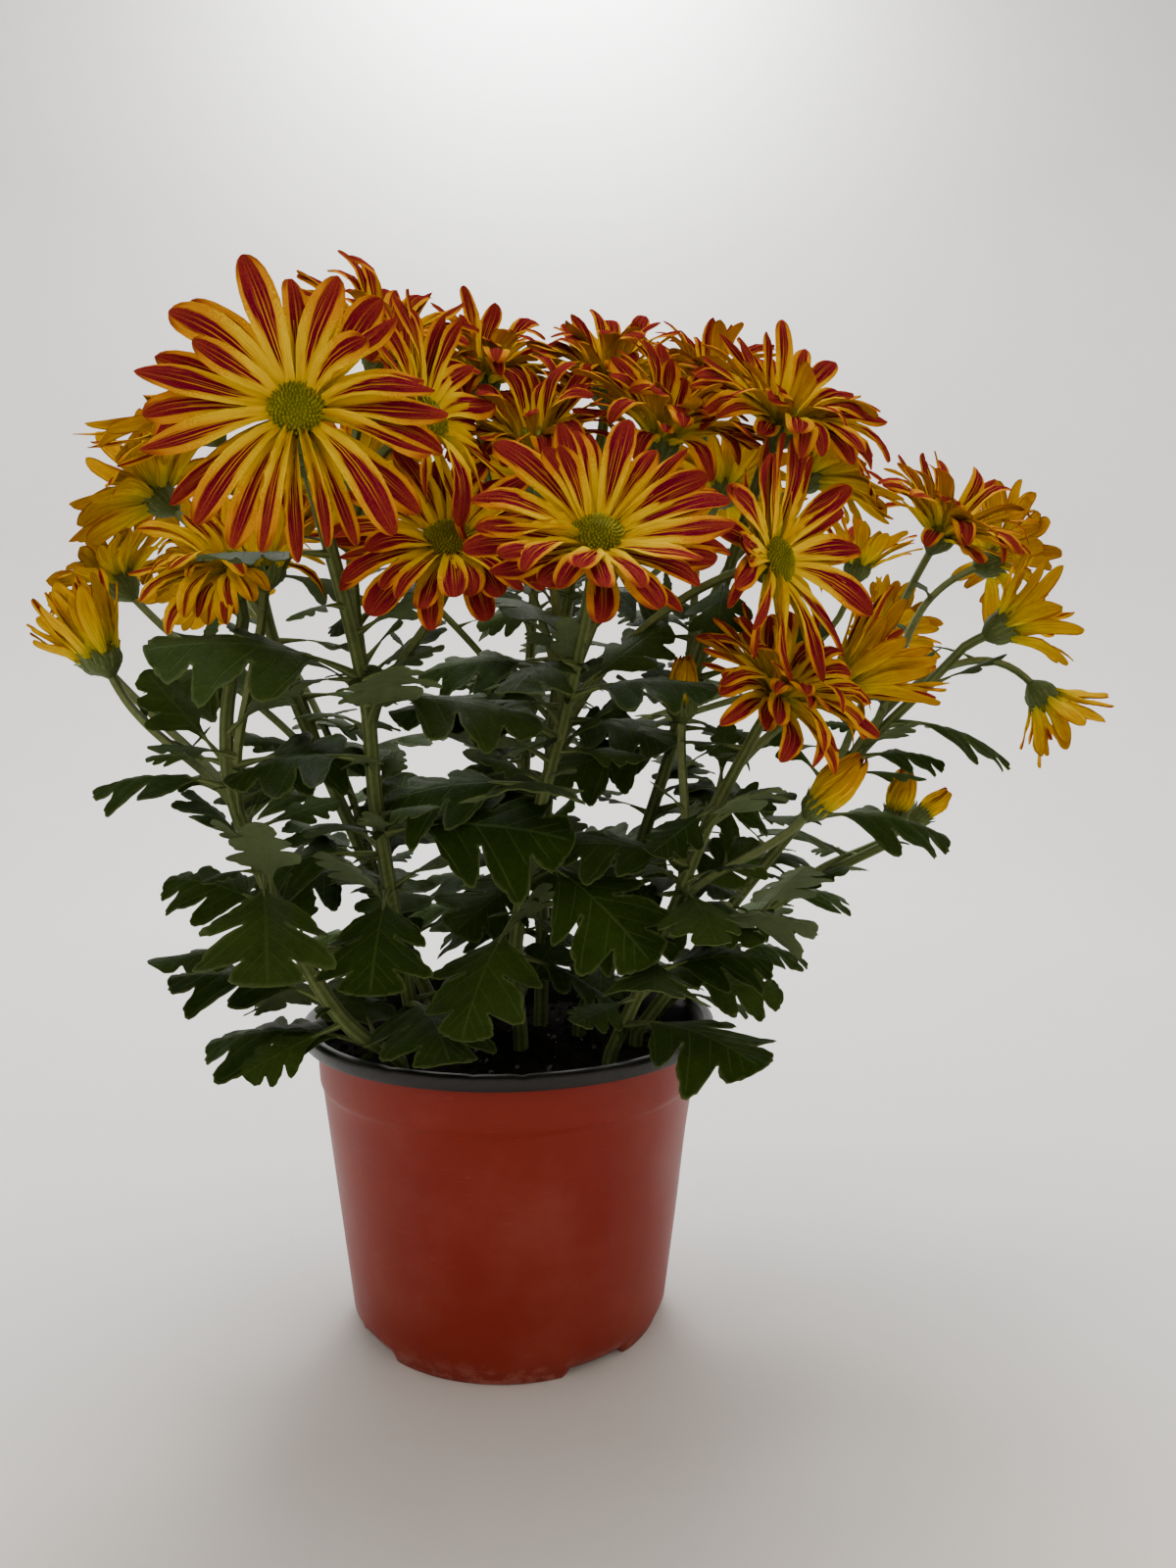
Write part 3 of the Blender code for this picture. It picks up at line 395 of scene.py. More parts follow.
def mixed(share, first, second):
    made = addNode(share.tree, "ShaderNodeMix", {0: share}, data_type="RGBA")
    ends = [socket for socket in made.inputs if socket.type == "RGBA"]
    feed(ends[0], first)
    feed(ends[1], second)
    return shaderValue([socket for socket in made.outputs if socket.type == "RGBA"][0])


def startGroup(name, takes, gives):
    # a socket named Colour holds a colour, any other a number
    tree = bpy.data.node_groups.new(name, "ShaderNodeTree")
    for way, labels in (("INPUT", takes), ("OUTPUT", gives)):
        for label in labels.split():
            kind = "NodeSocketColor" if label == "Colour" else "NodeSocketFloat"
            tree.interface.new_socket(name=label, in_out=way, socket_type=kind)
    given = [shaderValue(socket) for socket in addNode(tree, "NodeGroupInput").outputs if socket.name]
    return tree, given, addNode(tree, "NodeGroupOutput").inputs


def placeGroup(tree, group, **values):
    made = addNode(tree, "ShaderNodeGroup", values, node_tree=group)
    return {socket.name: shaderValue(socket) for socket in made.outputs}


def startMaterial(name, **plain):
    made = bpy.data.materials.new(name)
    made.use_nodes = True
    shader = made.node_tree.nodes["Principled BSDF"]
    for label, value in plain.items():
        feed(shader.inputs[label.replace("_", " ")], value)
    return made, made.node_tree, shader


def drifted(tree, colour, scale, amount):
    return placeGroup(tree, driftGroup, Colour=colour, Scale=scale, Amount=amount)["Colour"]


def bumpFrom(shader, height, strength, distance):
    looks = {"Strength": strength, "Distance": distance, "Height": height}
    made = addNode(height.tree, "ShaderNodeBump", looks)
    feed(shader.inputs["Normal"], shaderValue(made.outputs["Normal"]))


def flatPlace(tree):
    # across and along a piece's own flat pattern
    return split(shaderValue(addNode(tree, "ShaderNodeUVMap", uv_map="flat").outputs["UV"]))[:2]


def tintParts(tree):
    tint = addNode(tree, "ShaderNodeAttribute", attribute_name="tint")
    return split(shaderValue(tint.outputs["Color"]), "Color")


def objectPlace(tree):
    return shaderValue(addNode(tree, "ShaderNodeTexCoord").outputs["Object"])


# Colours are linear. Change them here and every petal, leaf or wall of that kind follows.
colours = {
    "petalYellow": (0.790, 0.515, 0.000), "petalOrange": (0.560, 0.165, 0.010),
    "petalCrimson": (0.165, 0.003, 0.022), "petalBrick": (0.290, 0.036, 0.016),
    # the dark crimson below is partly the petal's own dark lines and partly painted shade in its grooves
    "petalDarkLineAndShade": (0.080, 0.002, 0.010),
    # the two underside colours below are the petal's own amber, lightened with a painted glow for light shining
    # through it
    "petalUnderAmberGlow": (0.720, 0.500, 0.003), "petalTipUnderAmberGlow": (0.685, 0.395, 0.004),
    # the petal's foot colour below is greenish and dark, partly its own colour and partly painted shade near
    # the disc
    "petalBrown": (0.300, 0.070, 0.006), "petalFootGreenShade": (0.330, 0.360, 0.030),
    "leafUpper": (0.013, 0.028, 0.002), "leafYoung": (0.042, 0.070, 0.012),
    "leafUnder": (0.085, 0.115, 0.050), "leafVein": (0.050, 0.082, 0.020),
    "leafMargin": (0.100, 0.130, 0.045),
    "stem": (0.052, 0.076, 0.018), "stemRib": (0.125, 0.155, 0.055),
    "discGreen": (0.120, 0.125, 0.002), "discTip": (0.340, 0.310, 0.004),
    "terracotta": (0.180, 0.014, 0.006), "terracottaWorn": (0.300, 0.085, 0.060),
    "black": (0.006, 0.006, 0.006),
    "soil": (0.010, 0.008, 0.006), "soilFleck": (0.120, 0.115, 0.100),
    # the floor's front colour below is painted light: lighter and warmer, lifting the shadow in front of the
    # pot
    "floor": (0.740, 0.732, 0.718), "floorFrontPaintedLight": (0.90, 0.84, 0.77),
}


def makeStripesGroup():
    # a petal's face: a crimson band down its middle that widens outwards and is split by fine yellow lines,
    # clean yellow margins that turn speckled orange near the tip, and orange threads and darker crimson lines
    # where its relief dips, partly its own streaks and partly painted shade in the grooves; its underside is
    # amber with brown lines, lightened with a painted glow for light shining through it, and greenish at its
    # foot, partly its own colour and partly painted shade near the disc
    tree, (across, along, chance, redness, under), put = startGroup(
        "petalStripes", "Across Along Chance Redness Under", "Colour Height")
    own = calc("FRACT", chance * 7.31)

    def stretched(acrossScale, alongScale, seed, detail=2.0):
        # a pattern that runs along the petal, different on each
        return noise(combine(across * acrossScale, along * alongScale, chance * seed), 1.0, detail)

    streak, fine = stretched(7.0, 1.3, 31.0), stretched(30.0, 2.2, 57.0)
    speck = stretched(22.0, 60.0, 13.0, 2.5)
    fromRib = abs(across * 2.0 + own * 0.26 - 1.13)
    boldness = redness * 0.90 + chance * 0.46 - 0.11
    halfBand = ramp(along, 0.08, 0.72, 0.14, 0.78, "LINEAR") * boldness
    pastBand = fromRib + streak * 0.24 + fine * 0.34 - 0.29 - halfBand
    band = ramp(pastBand, -0.06, 0.05, 1.0, 0.0)
    begins = own * 0.16 + 0.36 - redness * 0.40
    started = ramp(fine * 0.35 + along - begins, 0.14, 0.26)
    tip = ramp(streak * 0.30 + along, 0.98, 1.14) * (redness * 0.8 + 0.2)
    lineAway = abs(streak * 0.10 + fromRib - own * 0.16 - 0.12)
    splitLine = ramp(lineAway, 0.014, 0.045, 0.9, 0.0) * ramp(along, 0.55, 0.88, 1.0, 0.15)
    fineLine = ramp(fine, 0.58, 0.66, 0.0, 0.65) * ramp(along, 0.45, 0.9, 1.0, 0.2)
    stripe = band * started * (1.0 - larger(splitLine, fineLine))

    fringe = ramp(pastBand, 0.02, 0.32, 0.85, 0.0) * ramp(along, 0.15, 0.55)
    speckled = larger(ramp(along * 0.80 + speck * 0.70, 0.70, 0.95), fringe)
    # orange where the relief dips, partly the petal's own streaks and partly painted shade in the grooves
    grooveShadedThreads = ramp(fine, 0.34, 0.46, 0.40, 0.0)
    orange = larger(speckled, grooveShadedThreads) * (redness * 0.85 + 0.12)
    ground = mixed(orange, colours["petalYellow"], colours["petalOrange"])
    browned = ramp(along * 0.5 + speck * 0.6, 0.56, 0.90, 0.0, 0.85)
    deep = mixed(browned, colours["petalCrimson"], colours["petalBrick"])
    # darker crimson where the relief dips, partly its own dark lines and partly painted shade in the grooves
    ribbed = mixed(ramp(fine, 0.38, 0.50, 0.48, 0.0), deep, colours["petalDarkLineAndShade"])
    face = mixed(larger(stripe, tip), ground, ribbed)

    margin = ramp(fromRib, 0.72, 0.98, 0.0, 0.80) * ramp(along, 0.15, 0.5)
    veined = larger(ramp(fine, 0.52, 0.62, 0.0, 0.60), margin)
    through = larger(larger(stripe * 0.50, tip * 0.85) * (redness * 0.9 + 0.1), veined)
    # the underside's amber, partly its own colour and partly a painted glow for light shining through the petal
    amber = mixed(ramp(streak * 0.5 + along, 0.4, 1.1), colours["petalUnderAmberGlow"], colours["petalTipUnderAmberGlow"])
    # greenish towards the foot, partly its own colour and partly painted shade near the disc
    footGreenAndShade = mixed(ramp(along, 0.02, 0.32, 0.75, 0.0), amber, colours["petalFootGreenShade"])
    back = mixed(through, footGreenAndShade, colours["petalBrown"])
    feed(put["Colour"], mixed(under, face, back))
    feed(put["Height"], streak * 0.7 + fine * 0.6)
    return tree


# Side veins of a leaf as (start, end, slope, width), in shares of the blade's length.
leafVeinLines = ((0.035, 0.35, 1.23, 0.008), (0.20, 0.41, 1.29, 0.005), (0.36, 0.75, 1.10, 0.008),
                 (0.55, 0.77, 1.08, 0.005), (0.70, 0.90, 0.91, 0.006), (0.80, 0.96, 0.83, 0.004))


def makeVeinsGroup():
    # a leaf's midrib, its side veins and a faint net between them
    tree, (along, side, chance), put = startGroup("leafVeins", "Along Side Chance", "Veins Net")
    away = abs(side)
    found = ramp(away, 0.006, 0.016, 1.0, 0.0) * ramp(along, 0.93, 0.99, 1.0, 0.0)
    for start, end, slope, width in leafVeinLines:
        line = ramp(abs(away - (along - start) * slope), width * 0.5, width * 1.6, 1.0, 0.0)
        gate = ramp(along, start - 0.01, start + 0.01) * ramp(along, end - 0.05, end, 1.0, 0.0)
        found = larger(found, line * gate)
    feed(put["Veins"], found)
    net = addNode(tree, "ShaderNodeTexVoronoi", {"Vector": combine(along, side, chance * 9.0), "Scale": 26.0},
                  feature="DISTANCE_TO_EDGE")
    feed(put["Net"], ramp(shaderValue(net.outputs["Distance"]), 0.0, 0.10, 1.0, 0.0))
    return tree


def makeDriftGroup():
    # slow and fine unevenness of a colour over the object
    tree, (colour, scale, amount), put = startGroup("colourDrift", "Colour Scale Amount", "Colour")
    place = objectPlace(tree)
    value = noise(place, scale * 9.0, 2.0) * 0.4 + noise(place, scale, 3.0) * 0.6
    change = ramp(value, 0.3, 0.7, 1.0 - amount, amount + 1.0, "LINEAR")
    toned = addNode(tree, "ShaderNodeVectorMath", {0: colour, "Scale": change}, operation="SCALE")
    feed(put["Colour"], shaderValue(toned.outputs[0]))
    return tree


def makePetalMaterial():
    made, tree, shader = startMaterial("striped petal", Roughness=0.70, Specular_IOR_Level=0.0)
    across, along = flatPlace(tree)
    chance, redness, under = tintParts(tree)
    stripes = placeGroup(tree, stripesGroup, Across=across, Along=along, Chance=chance, Redness=redness,
                         Under=under)
    feed(shader.inputs["Base Color"], drifted(tree, stripes["Colour"], 45.0, 0.10))
    bumpFrom(shader, stripes["Height"], 0.75, 0.0007)
    return made


def makeLeafMaterial():
    made, tree, shader = startMaterial("leaf", Roughness=0.50, Specular_IOR_Level=0.025)
    along, height = flatPlace(tree)
    chance, margin, under = tintParts(tree)
    veins = placeGroup(tree, veinsGroup, Along=along, Side=height - 0.5, Chance=chance)
    young = ramp(chance, 0.0, 1.0, 0.0, 0.8, "LINEAR")
    mottled = drifted(tree, mixed(young, colours["leafUpper"], colours["leafYoung"]), 60.0, 0.22)
    netted = mixed(veins["Net"] * 0.10, mottled, colours["leafVein"])
    edged = mixed(ramp(margin, 0.5, 1.0) * 0.5, netted, colours["leafMargin"])
    upper = mixed(veins["Veins"] * 0.60, edged, colours["leafVein"])
    pale = drifted(tree, colours["leafUnder"], 60.0, 0.15)
    back = mixed(veins["Veins"] * 0.45, pale, colours["leafMargin"])
    feed(shader.inputs["Base Color"], mixed(under, upper, back))
    relief = noise(objectPlace(tree), 900.0) * 0.35 - veins["Net"] * 0.35 - veins["Veins"]
    bumpFrom(shader, relief, 0.55, 0.0005)
    return made


def makeStemMaterial():
    made, tree, shader = startMaterial("stem", Roughness=0.6, Specular_IOR_Level=0.08)
    _, rib, _ = tintParts(tree)
    ground = mixed(rib, colours["stem"], colours["stemRib"])
    feed(shader.inputs["Base Color"], drifted(tree, ground, 70.0, 0.25))
    bumpFrom(shader, noise(objectPlace(tree), 1400.0, 3.0), 0.3, 0.0003)
    return made


def makeDiscMaterial():
    made, tree, shader = startMaterial("disc floret", Roughness=0.6, Specular_IOR_Level=0.10)
    chance, tipShare, _ = tintParts(tree)
    ground = mixed(tipShare, colours["discGreen"], colours["discTip"])
    toned = mixed(chance * 0.35, ground, colours["discTip"])
    feed(shader.inputs["Base Color"], drifted(tree, toned, 220.0, 0.18))
    bumpFrom(shader, noise(objectPlace(tree), 2600.0), 0.25, 0.0002)
    return made


def makeTerracottaMaterial():
    # thin moulded plastic: faint grain, dull bloom and pale scuffs towards the foot
    made, tree, shader = startMaterial("terracotta plastic", Specular_IOR_Level=0.17)
    place = objectPlace(tree)
    x, y, z = split(place)
    cloud = noise(place, 26.0, 4.0, 0.55)
    scratch = noise(combine(x, y, z * 7.0), 130.0, 4.0, 0.6)
    worn = ramp(z, 0.0, 0.012, 1.0, 0.0) * ramp(noise(place, 190.0, 4.0, 0.6), 0.44, 0.62)
    dull = ramp(cloud, 0.42, 0.72) * 0.22 + ramp(scratch, 0.60, 0.74) * 0.14
    ground = mixed(larger(dull, worn * 0.8), colours["terracotta"], colours["terracottaWorn"])
    feed(shader.inputs["Base Color"], ground)
    feed(shader.inputs["Roughness"], ramp(cloud, 0.3, 0.7, 0.36, 0.50, "LINEAR"))
    bumpFrom(shader, noise(place, 2200.0) * 0.5 + scratch * 0.5, 0.22, 0.0004)
    return made


def makeBlackMaterial():
    made, tree, shader = startMaterial("black plastic", Roughness=0.34, Specular_IOR_Level=0.30)
    feed(shader.inputs["Base Color"], drifted(tree, colours["black"], 80.0, 0.35))
    bumpFrom(shader, noise(objectPlace(tree), 700.0, 3.0), 0.2, 0.0004)
    return made


def makeSoilMaterial():
    made, tree, shader = startMaterial("potting mix", Roughness=0.95, Specular_IOR_Level=0.05)
    place = objectPlace(tree)
    _, pale, _ = tintParts(tree)
    crumbs = ramp(noise(place, 650.0, 4.0, 0.7), 0.62, 0.78) * 0.35
    ground = mixed(crumbs, colours["soil"], colours["soilFleck"])
    feed(shader.inputs["Base Color"], mixed(pale, ground, colours["soilFleck"]))
    bumpFrom(shader, noise(place, 500.0, 5.0, 0.7), 0.8, 0.0012)
    return made


def makeFloorMaterial():
    made, tree, shader = startMaterial("studio paper", Roughness=0.85, Specular_IOR_Level=0.2)
    _, y, _ = split(objectPlace(tree))
    # painted light: the paper turns lighter and warmer towards the front, lifting the shadow and adding a warm
    # bounce in front of the pot
    paper = mixed(ramp(y, -0.32, 0.05, 1.0, 0.0), colours["floor"], colours["floorFrontPaintedLight"])
    feed(shader.inputs["Base Color"], drifted(tree, paper, 3.0, 0.02))
    return made


stripesGroup, veinsGroup, driftGroup = makeStripesGroup(), makeVeinsGroup(), makeDriftGroup()
petalMaterial, leafMaterial, stemMaterial = makePetalMaterial(), makeLeafMaterial(), makeStemMaterial()
discMaterial, soilMaterial, floorMaterial = makeDiscMaterial(), makeSoilMaterial(), makeFloorMaterial()
terracottaMaterial, blackMaterial = makeTerracottaMaterial(), makeBlackMaterial()
print("Materials ready")


# Petals

petalLook = {
    "widthSpread": (0.76, 1.12), "betweenWidth": (0.72, 1.0), "sunk": 1.8 * mm, "channel": (0.4, 1.5),
    "rolledShare": 0.05, "rolledBelow": 0.80, "rolledWidth": 0.58, "rolledChannel": (2.2, 3.4),
    "twist": 18, "bank": 13, "ridge": 1.4, "ripple": 0.30 * mm, "sway": 1.3 * mm, "bow": 1.6 * mm,
    "lift": 2.6 * mm, "hang": 5 * mm, "forward": 9 * mm,
    "betweenRise": (-10, 4), "betweenLength": (0.86, 1.03), "innerRise": (12, 40),
}

# Petals of an open bloom, of one that faces up, of a closed bud and of a half-open bloom: how many in all,
# width at most and as a share of the bloom's radius, how pointed, how far the tips curl, how lively,
# and the share and length of the inner ones.
petalStyle = namedtuple(
    "petalStyle", "count width widthShare pointed tipCurl liveliness innerShare innerLength")
petalStyles = {
    "open": petalStyle(38, 9.0 * mm, 0.245, 0.0, (-3.4 * mm, 3.0 * mm), 1.0, 0.08, (0.55, 0.84)),
    "upward": petalStyle(52, 8.2 * mm, 0.230, 0.1, (-6.5 * mm, 2.0 * mm), 1.0, 0.50, (0.66, 1.0)),
    "furled": petalStyle(0, 0, 0, 0.8, (-0.6 * mm, 1.0 * mm), 0.25, 0, None),
    "halfOpen": petalStyle(22, 8.4 * mm, 0.245, 0.45, (-2.5 * mm, 2.0 * mm), 0.30, 0.3, (0.6, 0.9)),
}

# Round a petal's section, counterclockwise seen from its tip: place across it, how far its ridges stand up,
# and whether it is the underside.
sectionAcross = np.array([1, 0.68, 0.36, 0, -0.36, -0.68, -1, -0.5, 0.5])
sectionRidge = np.array([0, 0.55, -0.7, 0.8, -0.7, 0.55, 0, 0, 0])
sectionUnder = np.array([0, 0, 0, 0, 0, 0, 0, 1, 1])

# Along a petal: share of its length, half width, how far its margins stand up, how strong its ridges are
# and how thick it is, the last three in millimetres.
petalStations = np.array([
    (0.00, 0.34, 0.5, 0.10, 0.90), (0.08, 0.42, 0.9, 0.20, 0.70), (0.19, 0.57, 1.1, 0.30, 0.52),
    (0.33, 0.78, 0.9, 0.33, 0.44), (0.48, 0.92, 0.5, 0.33, 0.40), (0.63, 1.00, 0.0, 0.32, 0.36),
    (0.76, 0.98, -0.4, 0.30, 0.34), (0.87, 0.85, -0.6, 0.26, 0.32), (0.94, 0.63, -0.6, 0.18, 0.30),
    (0.98, 0.39, -0.5, 0.10, 0.26), (1.00, 0.12, -0.4, 0.00, 0.20)])


def petalForm():
    form = modelTube(len(sectionAcross), len(petalStations) - 1)
    flat, under = [], []
    for face in form["faces"]:
        hidden = float(len(face) == 4 and sectionUnder[form["ring"][list(face)]].any())
        for index in face:
            ring, level = form["ring"][index], form["level"][index]
            flat.append(((sectionAcross[ring] + 1) / 2, petalStations[level, 0]))
            under.append(hidden)
    return finishForm(form, flat, under)


def rayPath(bloom, turn, rise, length, startHeight, startRadius=plant["hubRadius"]):
    # middle line of a petal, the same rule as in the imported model
    facing, side, up = directionsOf(bloom)
    outward = turned(side, up, turn)
    place = scaled(bloom.place) + outward * startRadius + facing * startHeight
    curl = bloom.curl * (1 - plant["upright"] * max(0, math.sin(turn)))
    path = [place.copy()]
    for step in range(plant["raySteps"]):
        share = (step + 0.5) / plant["raySteps"]
        angle = math.radians(rise - curl * share ** plant["curlPower"])
        ahead = outward * math.cos(angle) + facing * math.sin(angle)
        ahead = (ahead - Vector((0, 0, bloom.sag * share))).normalized()
        place = place + ahead * (length / plant["raySteps"])
        path.append(place.copy())
    return path, outward, facing


def bentPetal(form, path, outward, facing, width, rng, style, rolling=0.0, hanging=0.0, forward=0.0):
    # bends a copy of the petal along its path, with some twist, sway and curl of its own; some are rolled
    share, broad, standing, ridged, thick = petalStations.T

    def swing(habit):
        return rng.uniform(-1, 1) * petalLook[habit]

    line = asArray(path)
    line = np.vstack([line[0] - np.array(outward) * petalLook["sunk"], line])
    given = np.concatenate([[-0.05], np.linspace(0, 1, len(path))])
    spine = readAt(share - 0.05 * (1 - share) ** 6, given, line)
    ahead = unit(np.gradient(spine, axis=0))
    across = unit(np.cross(np.array(facing), np.array(outward)))
    across = unit(across - ahead * (ahead @ across)[:, None])
    twist = math.radians(swing("twist")) * share * 1.6 * style.liveliness
    twist = twist + math.radians(swing("bank")) * np.clip(share * 5, 0, 1)
    leaning = np.cos(twist)[:, None] * across + np.sin(twist)[:, None] * np.cross(ahead, across)
    normal = np.cross(ahead, leaning)
    sway = swing("sway") * np.sin(share * math.pi * rng.uniform(0.9, 1.6))
    curl = rng.uniform(*style.tipCurl) * style.liveliness * np.clip((share - 0.62) / 0.38, 0, 1) ** 2
    curl = curl + swing("bow") * style.liveliness * np.sin(share * math.pi)
    curl = curl + swing("lift") * style.liveliness * share ** 2
    spine = spine + leaning * sway[:, None] + normal * curl[:, None]
    spine[:, 2] -= petalLook["hang"] * hanging * share ** 2
    spine = spine + np.array(facing) * (petalLook["forward"] * forward * share ** 1.5)[:, None]
    rolled = rng.random() < rolling
    channel = rng.uniform(*petalLook["rolledChannel" if rolled else "channel"])
    width = width * (petalLook["rolledWidth"] if rolled else 1)
    ripple = petalLook["ripple"] * np.sin(share * rng.uniform(9, 15) + rng.uniform(0, 6))
    ring, level = form["ring"], form["level"]
    reach = sectionAcross[ring]
    taper = 1 - 0.6 * style.pointed * np.clip((share - 0.5) / 0.5, 0, 1) ** 1.3
    half = width / 2 * (broad * taper)[level]
    lift = standing[level] * mm * channel * reach ** 2 + ripple[level] * reach
    lift = lift + np.where(sectionUnder[ring] > 0, -thick[level] * mm,
                           sectionRidge[ring] * ridged[level] * petalLook["ridge"] * mm)
    return spine[level] + leaning[level] * (half * reach)[:, None] + normal[level] * lift[:, None]


def surfaceOf(form, points):
    return BVHTree.FromPolygons(points.tolist(), form["faces"])


def crosses(tree, points, leftOut, placed=()):
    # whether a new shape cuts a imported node, apart from its own, or a shape placed before it
    low, high = points.min(axis=0), points.max(axis=0)
    others = [(*boxes[name], other) for name, other in surfaces.items() if name not in leftOut]
    for otherLow, otherHigh, other in others + list(placed):
        if (low <= otherHigh).all() and (high >= otherLow).all() and tree.overlap(other):
            return True
    return False


counts = {"petals": 0, "left out": 0}


def styleOf(bloom):
    if bloom.cup > 50:
        return petalStyles["halfOpen"]
    return petalStyles["upward" if bloom.rise > 48 else "open"]


def lowerShare(bloom, turn, lowest, highest):
    # how far a petal is under the middle of its bloom, for blooms that face up by the given angles
    return max(0.0, -math.sin(turn)) * (lowest <= bloom.rise < highest) * (bloom.cup < 50)


def bloomPetals(bloom, form):
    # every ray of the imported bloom, found by its tip, then others between them and shorter ones inside
    name = "rays_" + bloom.name
    corners = nodeTree(name)
    draw, rng = random.Random(bloom.name), random.Random("petals of " + bloom.name)
    heap, missing, placed = newHeap(), 0, 0
    style = styleOf(bloom)
    width = min(style.width, bloom.radius * mm * style.widthShare)
    reach = bloom.radius * mm - plant["hubRadius"]

    def shaped(path, outward, facing, girth, turn):
        # the lower petals of a bloom that faces forwards hang and are mostly rolled; others reach forwards
        hanging, forward = lowerShare(bloom, turn, -90, 30), lowerShare(bloom, turn, 30, 48)
        rolling = petalLook["rolledShare"] + petalLook["rolledBelow"] * hanging
        return bentPetal(form, path, outward, facing, girth, rng, style, rolling, hanging, forward)

    for offset, drop, depth in ((0.5, 0, 0), (1.0, plant["ringGap"], plant["hubDepth"])):
        for k in range(bloom.rays):
            turn = math.tau * (k + offset) / bloom.rays
            wander, spread = draw.uniform(-plant["wander"], plant["wander"]), draw.uniform(*plant["spread"])
            found = None
            for lift, share in rayTries:
                ray = rayPath(bloom, turn, bloom.cup + wander + lift - drop, reach * spread * share, -depth)
                if corners.find(ray[0][-1])[2] < 0.05 * mm:
                    found = ray
                    break
            chance = rng.random()
            girth = width * rng.uniform(*petalLook["widthSpread"])
            if found is None:
                missing += 1
                continue
            pour(heap, form, shaped(*found, girth, turn), chance, bloom.redness)
    extras = max(0, style.count - 2 * bloom.rays + missing)
    for k in range(extras):
        turn = math.tau * (k + rng.uniform(0.1, 0.9)) / extras
        if lowerShare(bloom, turn, -90, 30) > 0.25:
            continue
        inner = rng.random() < style.innerShare
        rises = petalLook["innerRise" if inner else "betweenRise"]
        lengths = style.innerLength if inner else petalLook["betweenLength"]
        start = (0.6 * mm, plant["hubRadius"] * 0.9) if inner else (-1.4 * mm, plant["hubRadius"])
        chance, girth = rng.random(), width * rng.uniform(*petalLook["betweenWidth"])
        for attempt in range(5):
            rise = bloom.cup + rng.uniform(*rises) + (6 if inner else -3) * attempt
            length = reach * rng.uniform(*lengths) * (1 - 0.07 * attempt)
            points = shaped(*rayPath(bloom, turn, rise, length, *start), girth, turn)
            if not crosses(surfaceOf(form, points), points, (name, "disc_" + bloom.name)):
                pour(heap, form, points, chance, bloom.redness)
                placed += 1
                break
    counts["petals"] += len(heap["points"])
    counts["left out"] += extras - placed
    pieceFromHeap("petals_" + bloom.name, heap, [petalMaterial], [name])


# Centres

centreLook = {
    "openRadius": 6.9 * mm, "cupRadius": 5.4 * mm, "height": 3.9 * mm, "floret": 0.50 * mm,
    "floretRise": 0.75 * mm, "openCount": 190, "plainCount": 90,
}


def roundBody(form, middle, facing, side, profile):
    # lays a tube form's levels on a turned profile of (radius, height)
    turns = form["ring"] * math.tau / form["sides"]
    up = np.array(facing.cross(side).normalized())
    outward = np.cos(turns)[:, None] * np.array(side) + np.sin(turns)[:, None] * up
    radius, height = np.array(profile)[form["level"]].T
    return np.array(middle) + outward * radius[:, None] + np.array(facing) * height[:, None]


def bloomCentre(bloom, hubForm, floretForm):
    # a dome covered with florets on a golden spiral, wider and open towards its rim
    rng = random.Random("centre of " + bloom.name)
    facing, side, up = directionsOf(bloom)
    middle, heap = scaled(bloom.place), newHeap()
    hubRadius, hubDepth = plant["hubRadius"], plant["hubDepth"]
    radius = centreLook["openRadius" if bloom.cup <= 50 else "cupRadius"] * min(1.0, bloom.radius / 36)
    height = centreLook["height"] * radius / centreLook["openRadius"]
    profile = [(hubRadius * 0.55, -hubDepth), (hubRadius * 0.98, -hubDepth * 0.85)]
    domeSteps = hubForm["segments"] - 2
    for step in range(domeSteps + 1):
        turn = math.pi / 2 * step / domeSteps * 0.97
        profile.append((radius * 0.94 * math.cos(turn), 0.2 * mm + (height - 0.5 * mm) * math.sin(turn)))
    pour(heap, hubForm, roundBody(hubForm, middle, facing, side, profile), 0.5, 0.05)
    count = centreLook["openCount" if bloom.disc else "plainCount"]
    golden = math.pi * (3 - math.sqrt(5))
    for k in range(count):
        share = math.sqrt((k + 0.5) / count)
        outward = turned(side, up, k * golden)
        slope = share * math.pi / 2 * 0.86
        place = middle + outward * radius * share + facing * (0.2 * mm + height * math.cos(slope) * 0.92)
        stand = (facing * math.cos(slope * 0.7) + outward * math.sin(slope * 0.7)).normalized()
        opened = share > 0.45
        size = centreLook["floret"] * (1.06 if opened else 0.86) * rng.uniform(0.85, 1.12)
        size = size * radius / centreLook["openRadius"]
        tall = centreLook["floretRise"] * (1.1 if opened else 0.75) * rng.uniform(0.8, 1.2)
        knob = [(size * 0.75, -0.6 * mm), (size, tall * 0.45), (size * 0.42, tall)]
        leaned = stand.cross(side).normalized().cross(stand)
        shade = np.where(floretForm["level"] == floretForm["segments"], 1.0, 0.25) * (0.35 + 0.65 * share)
        pour(heap, floretForm, roundBody(floretForm, place, stand, leaned, knob), rng.random(), shade)
    nodes = ["disc_" + bloom.name] if bloom.disc else []
    pieceFromHeap("centre_" + bloom.name, heap, [discMaterial], nodes, 70)


# Buds: petals that lie round a pointed egg, some with their tips loose

budLook = {"girth": 0.275, "core": 0.86, "petals": 24, "width": 0.20, "twist": 0.5, "loose": 0.09}
# The egg's outline as (share of its length, share of its girth).
budProfile = np.array([(0.0, 0.62), (0.12, 0.85), (0.28, 0.98), (0.45, 1.0),
                       (0.62, 0.86), (0.78, 0.62), (0.90, 0.38), (1.0, 0.14)])


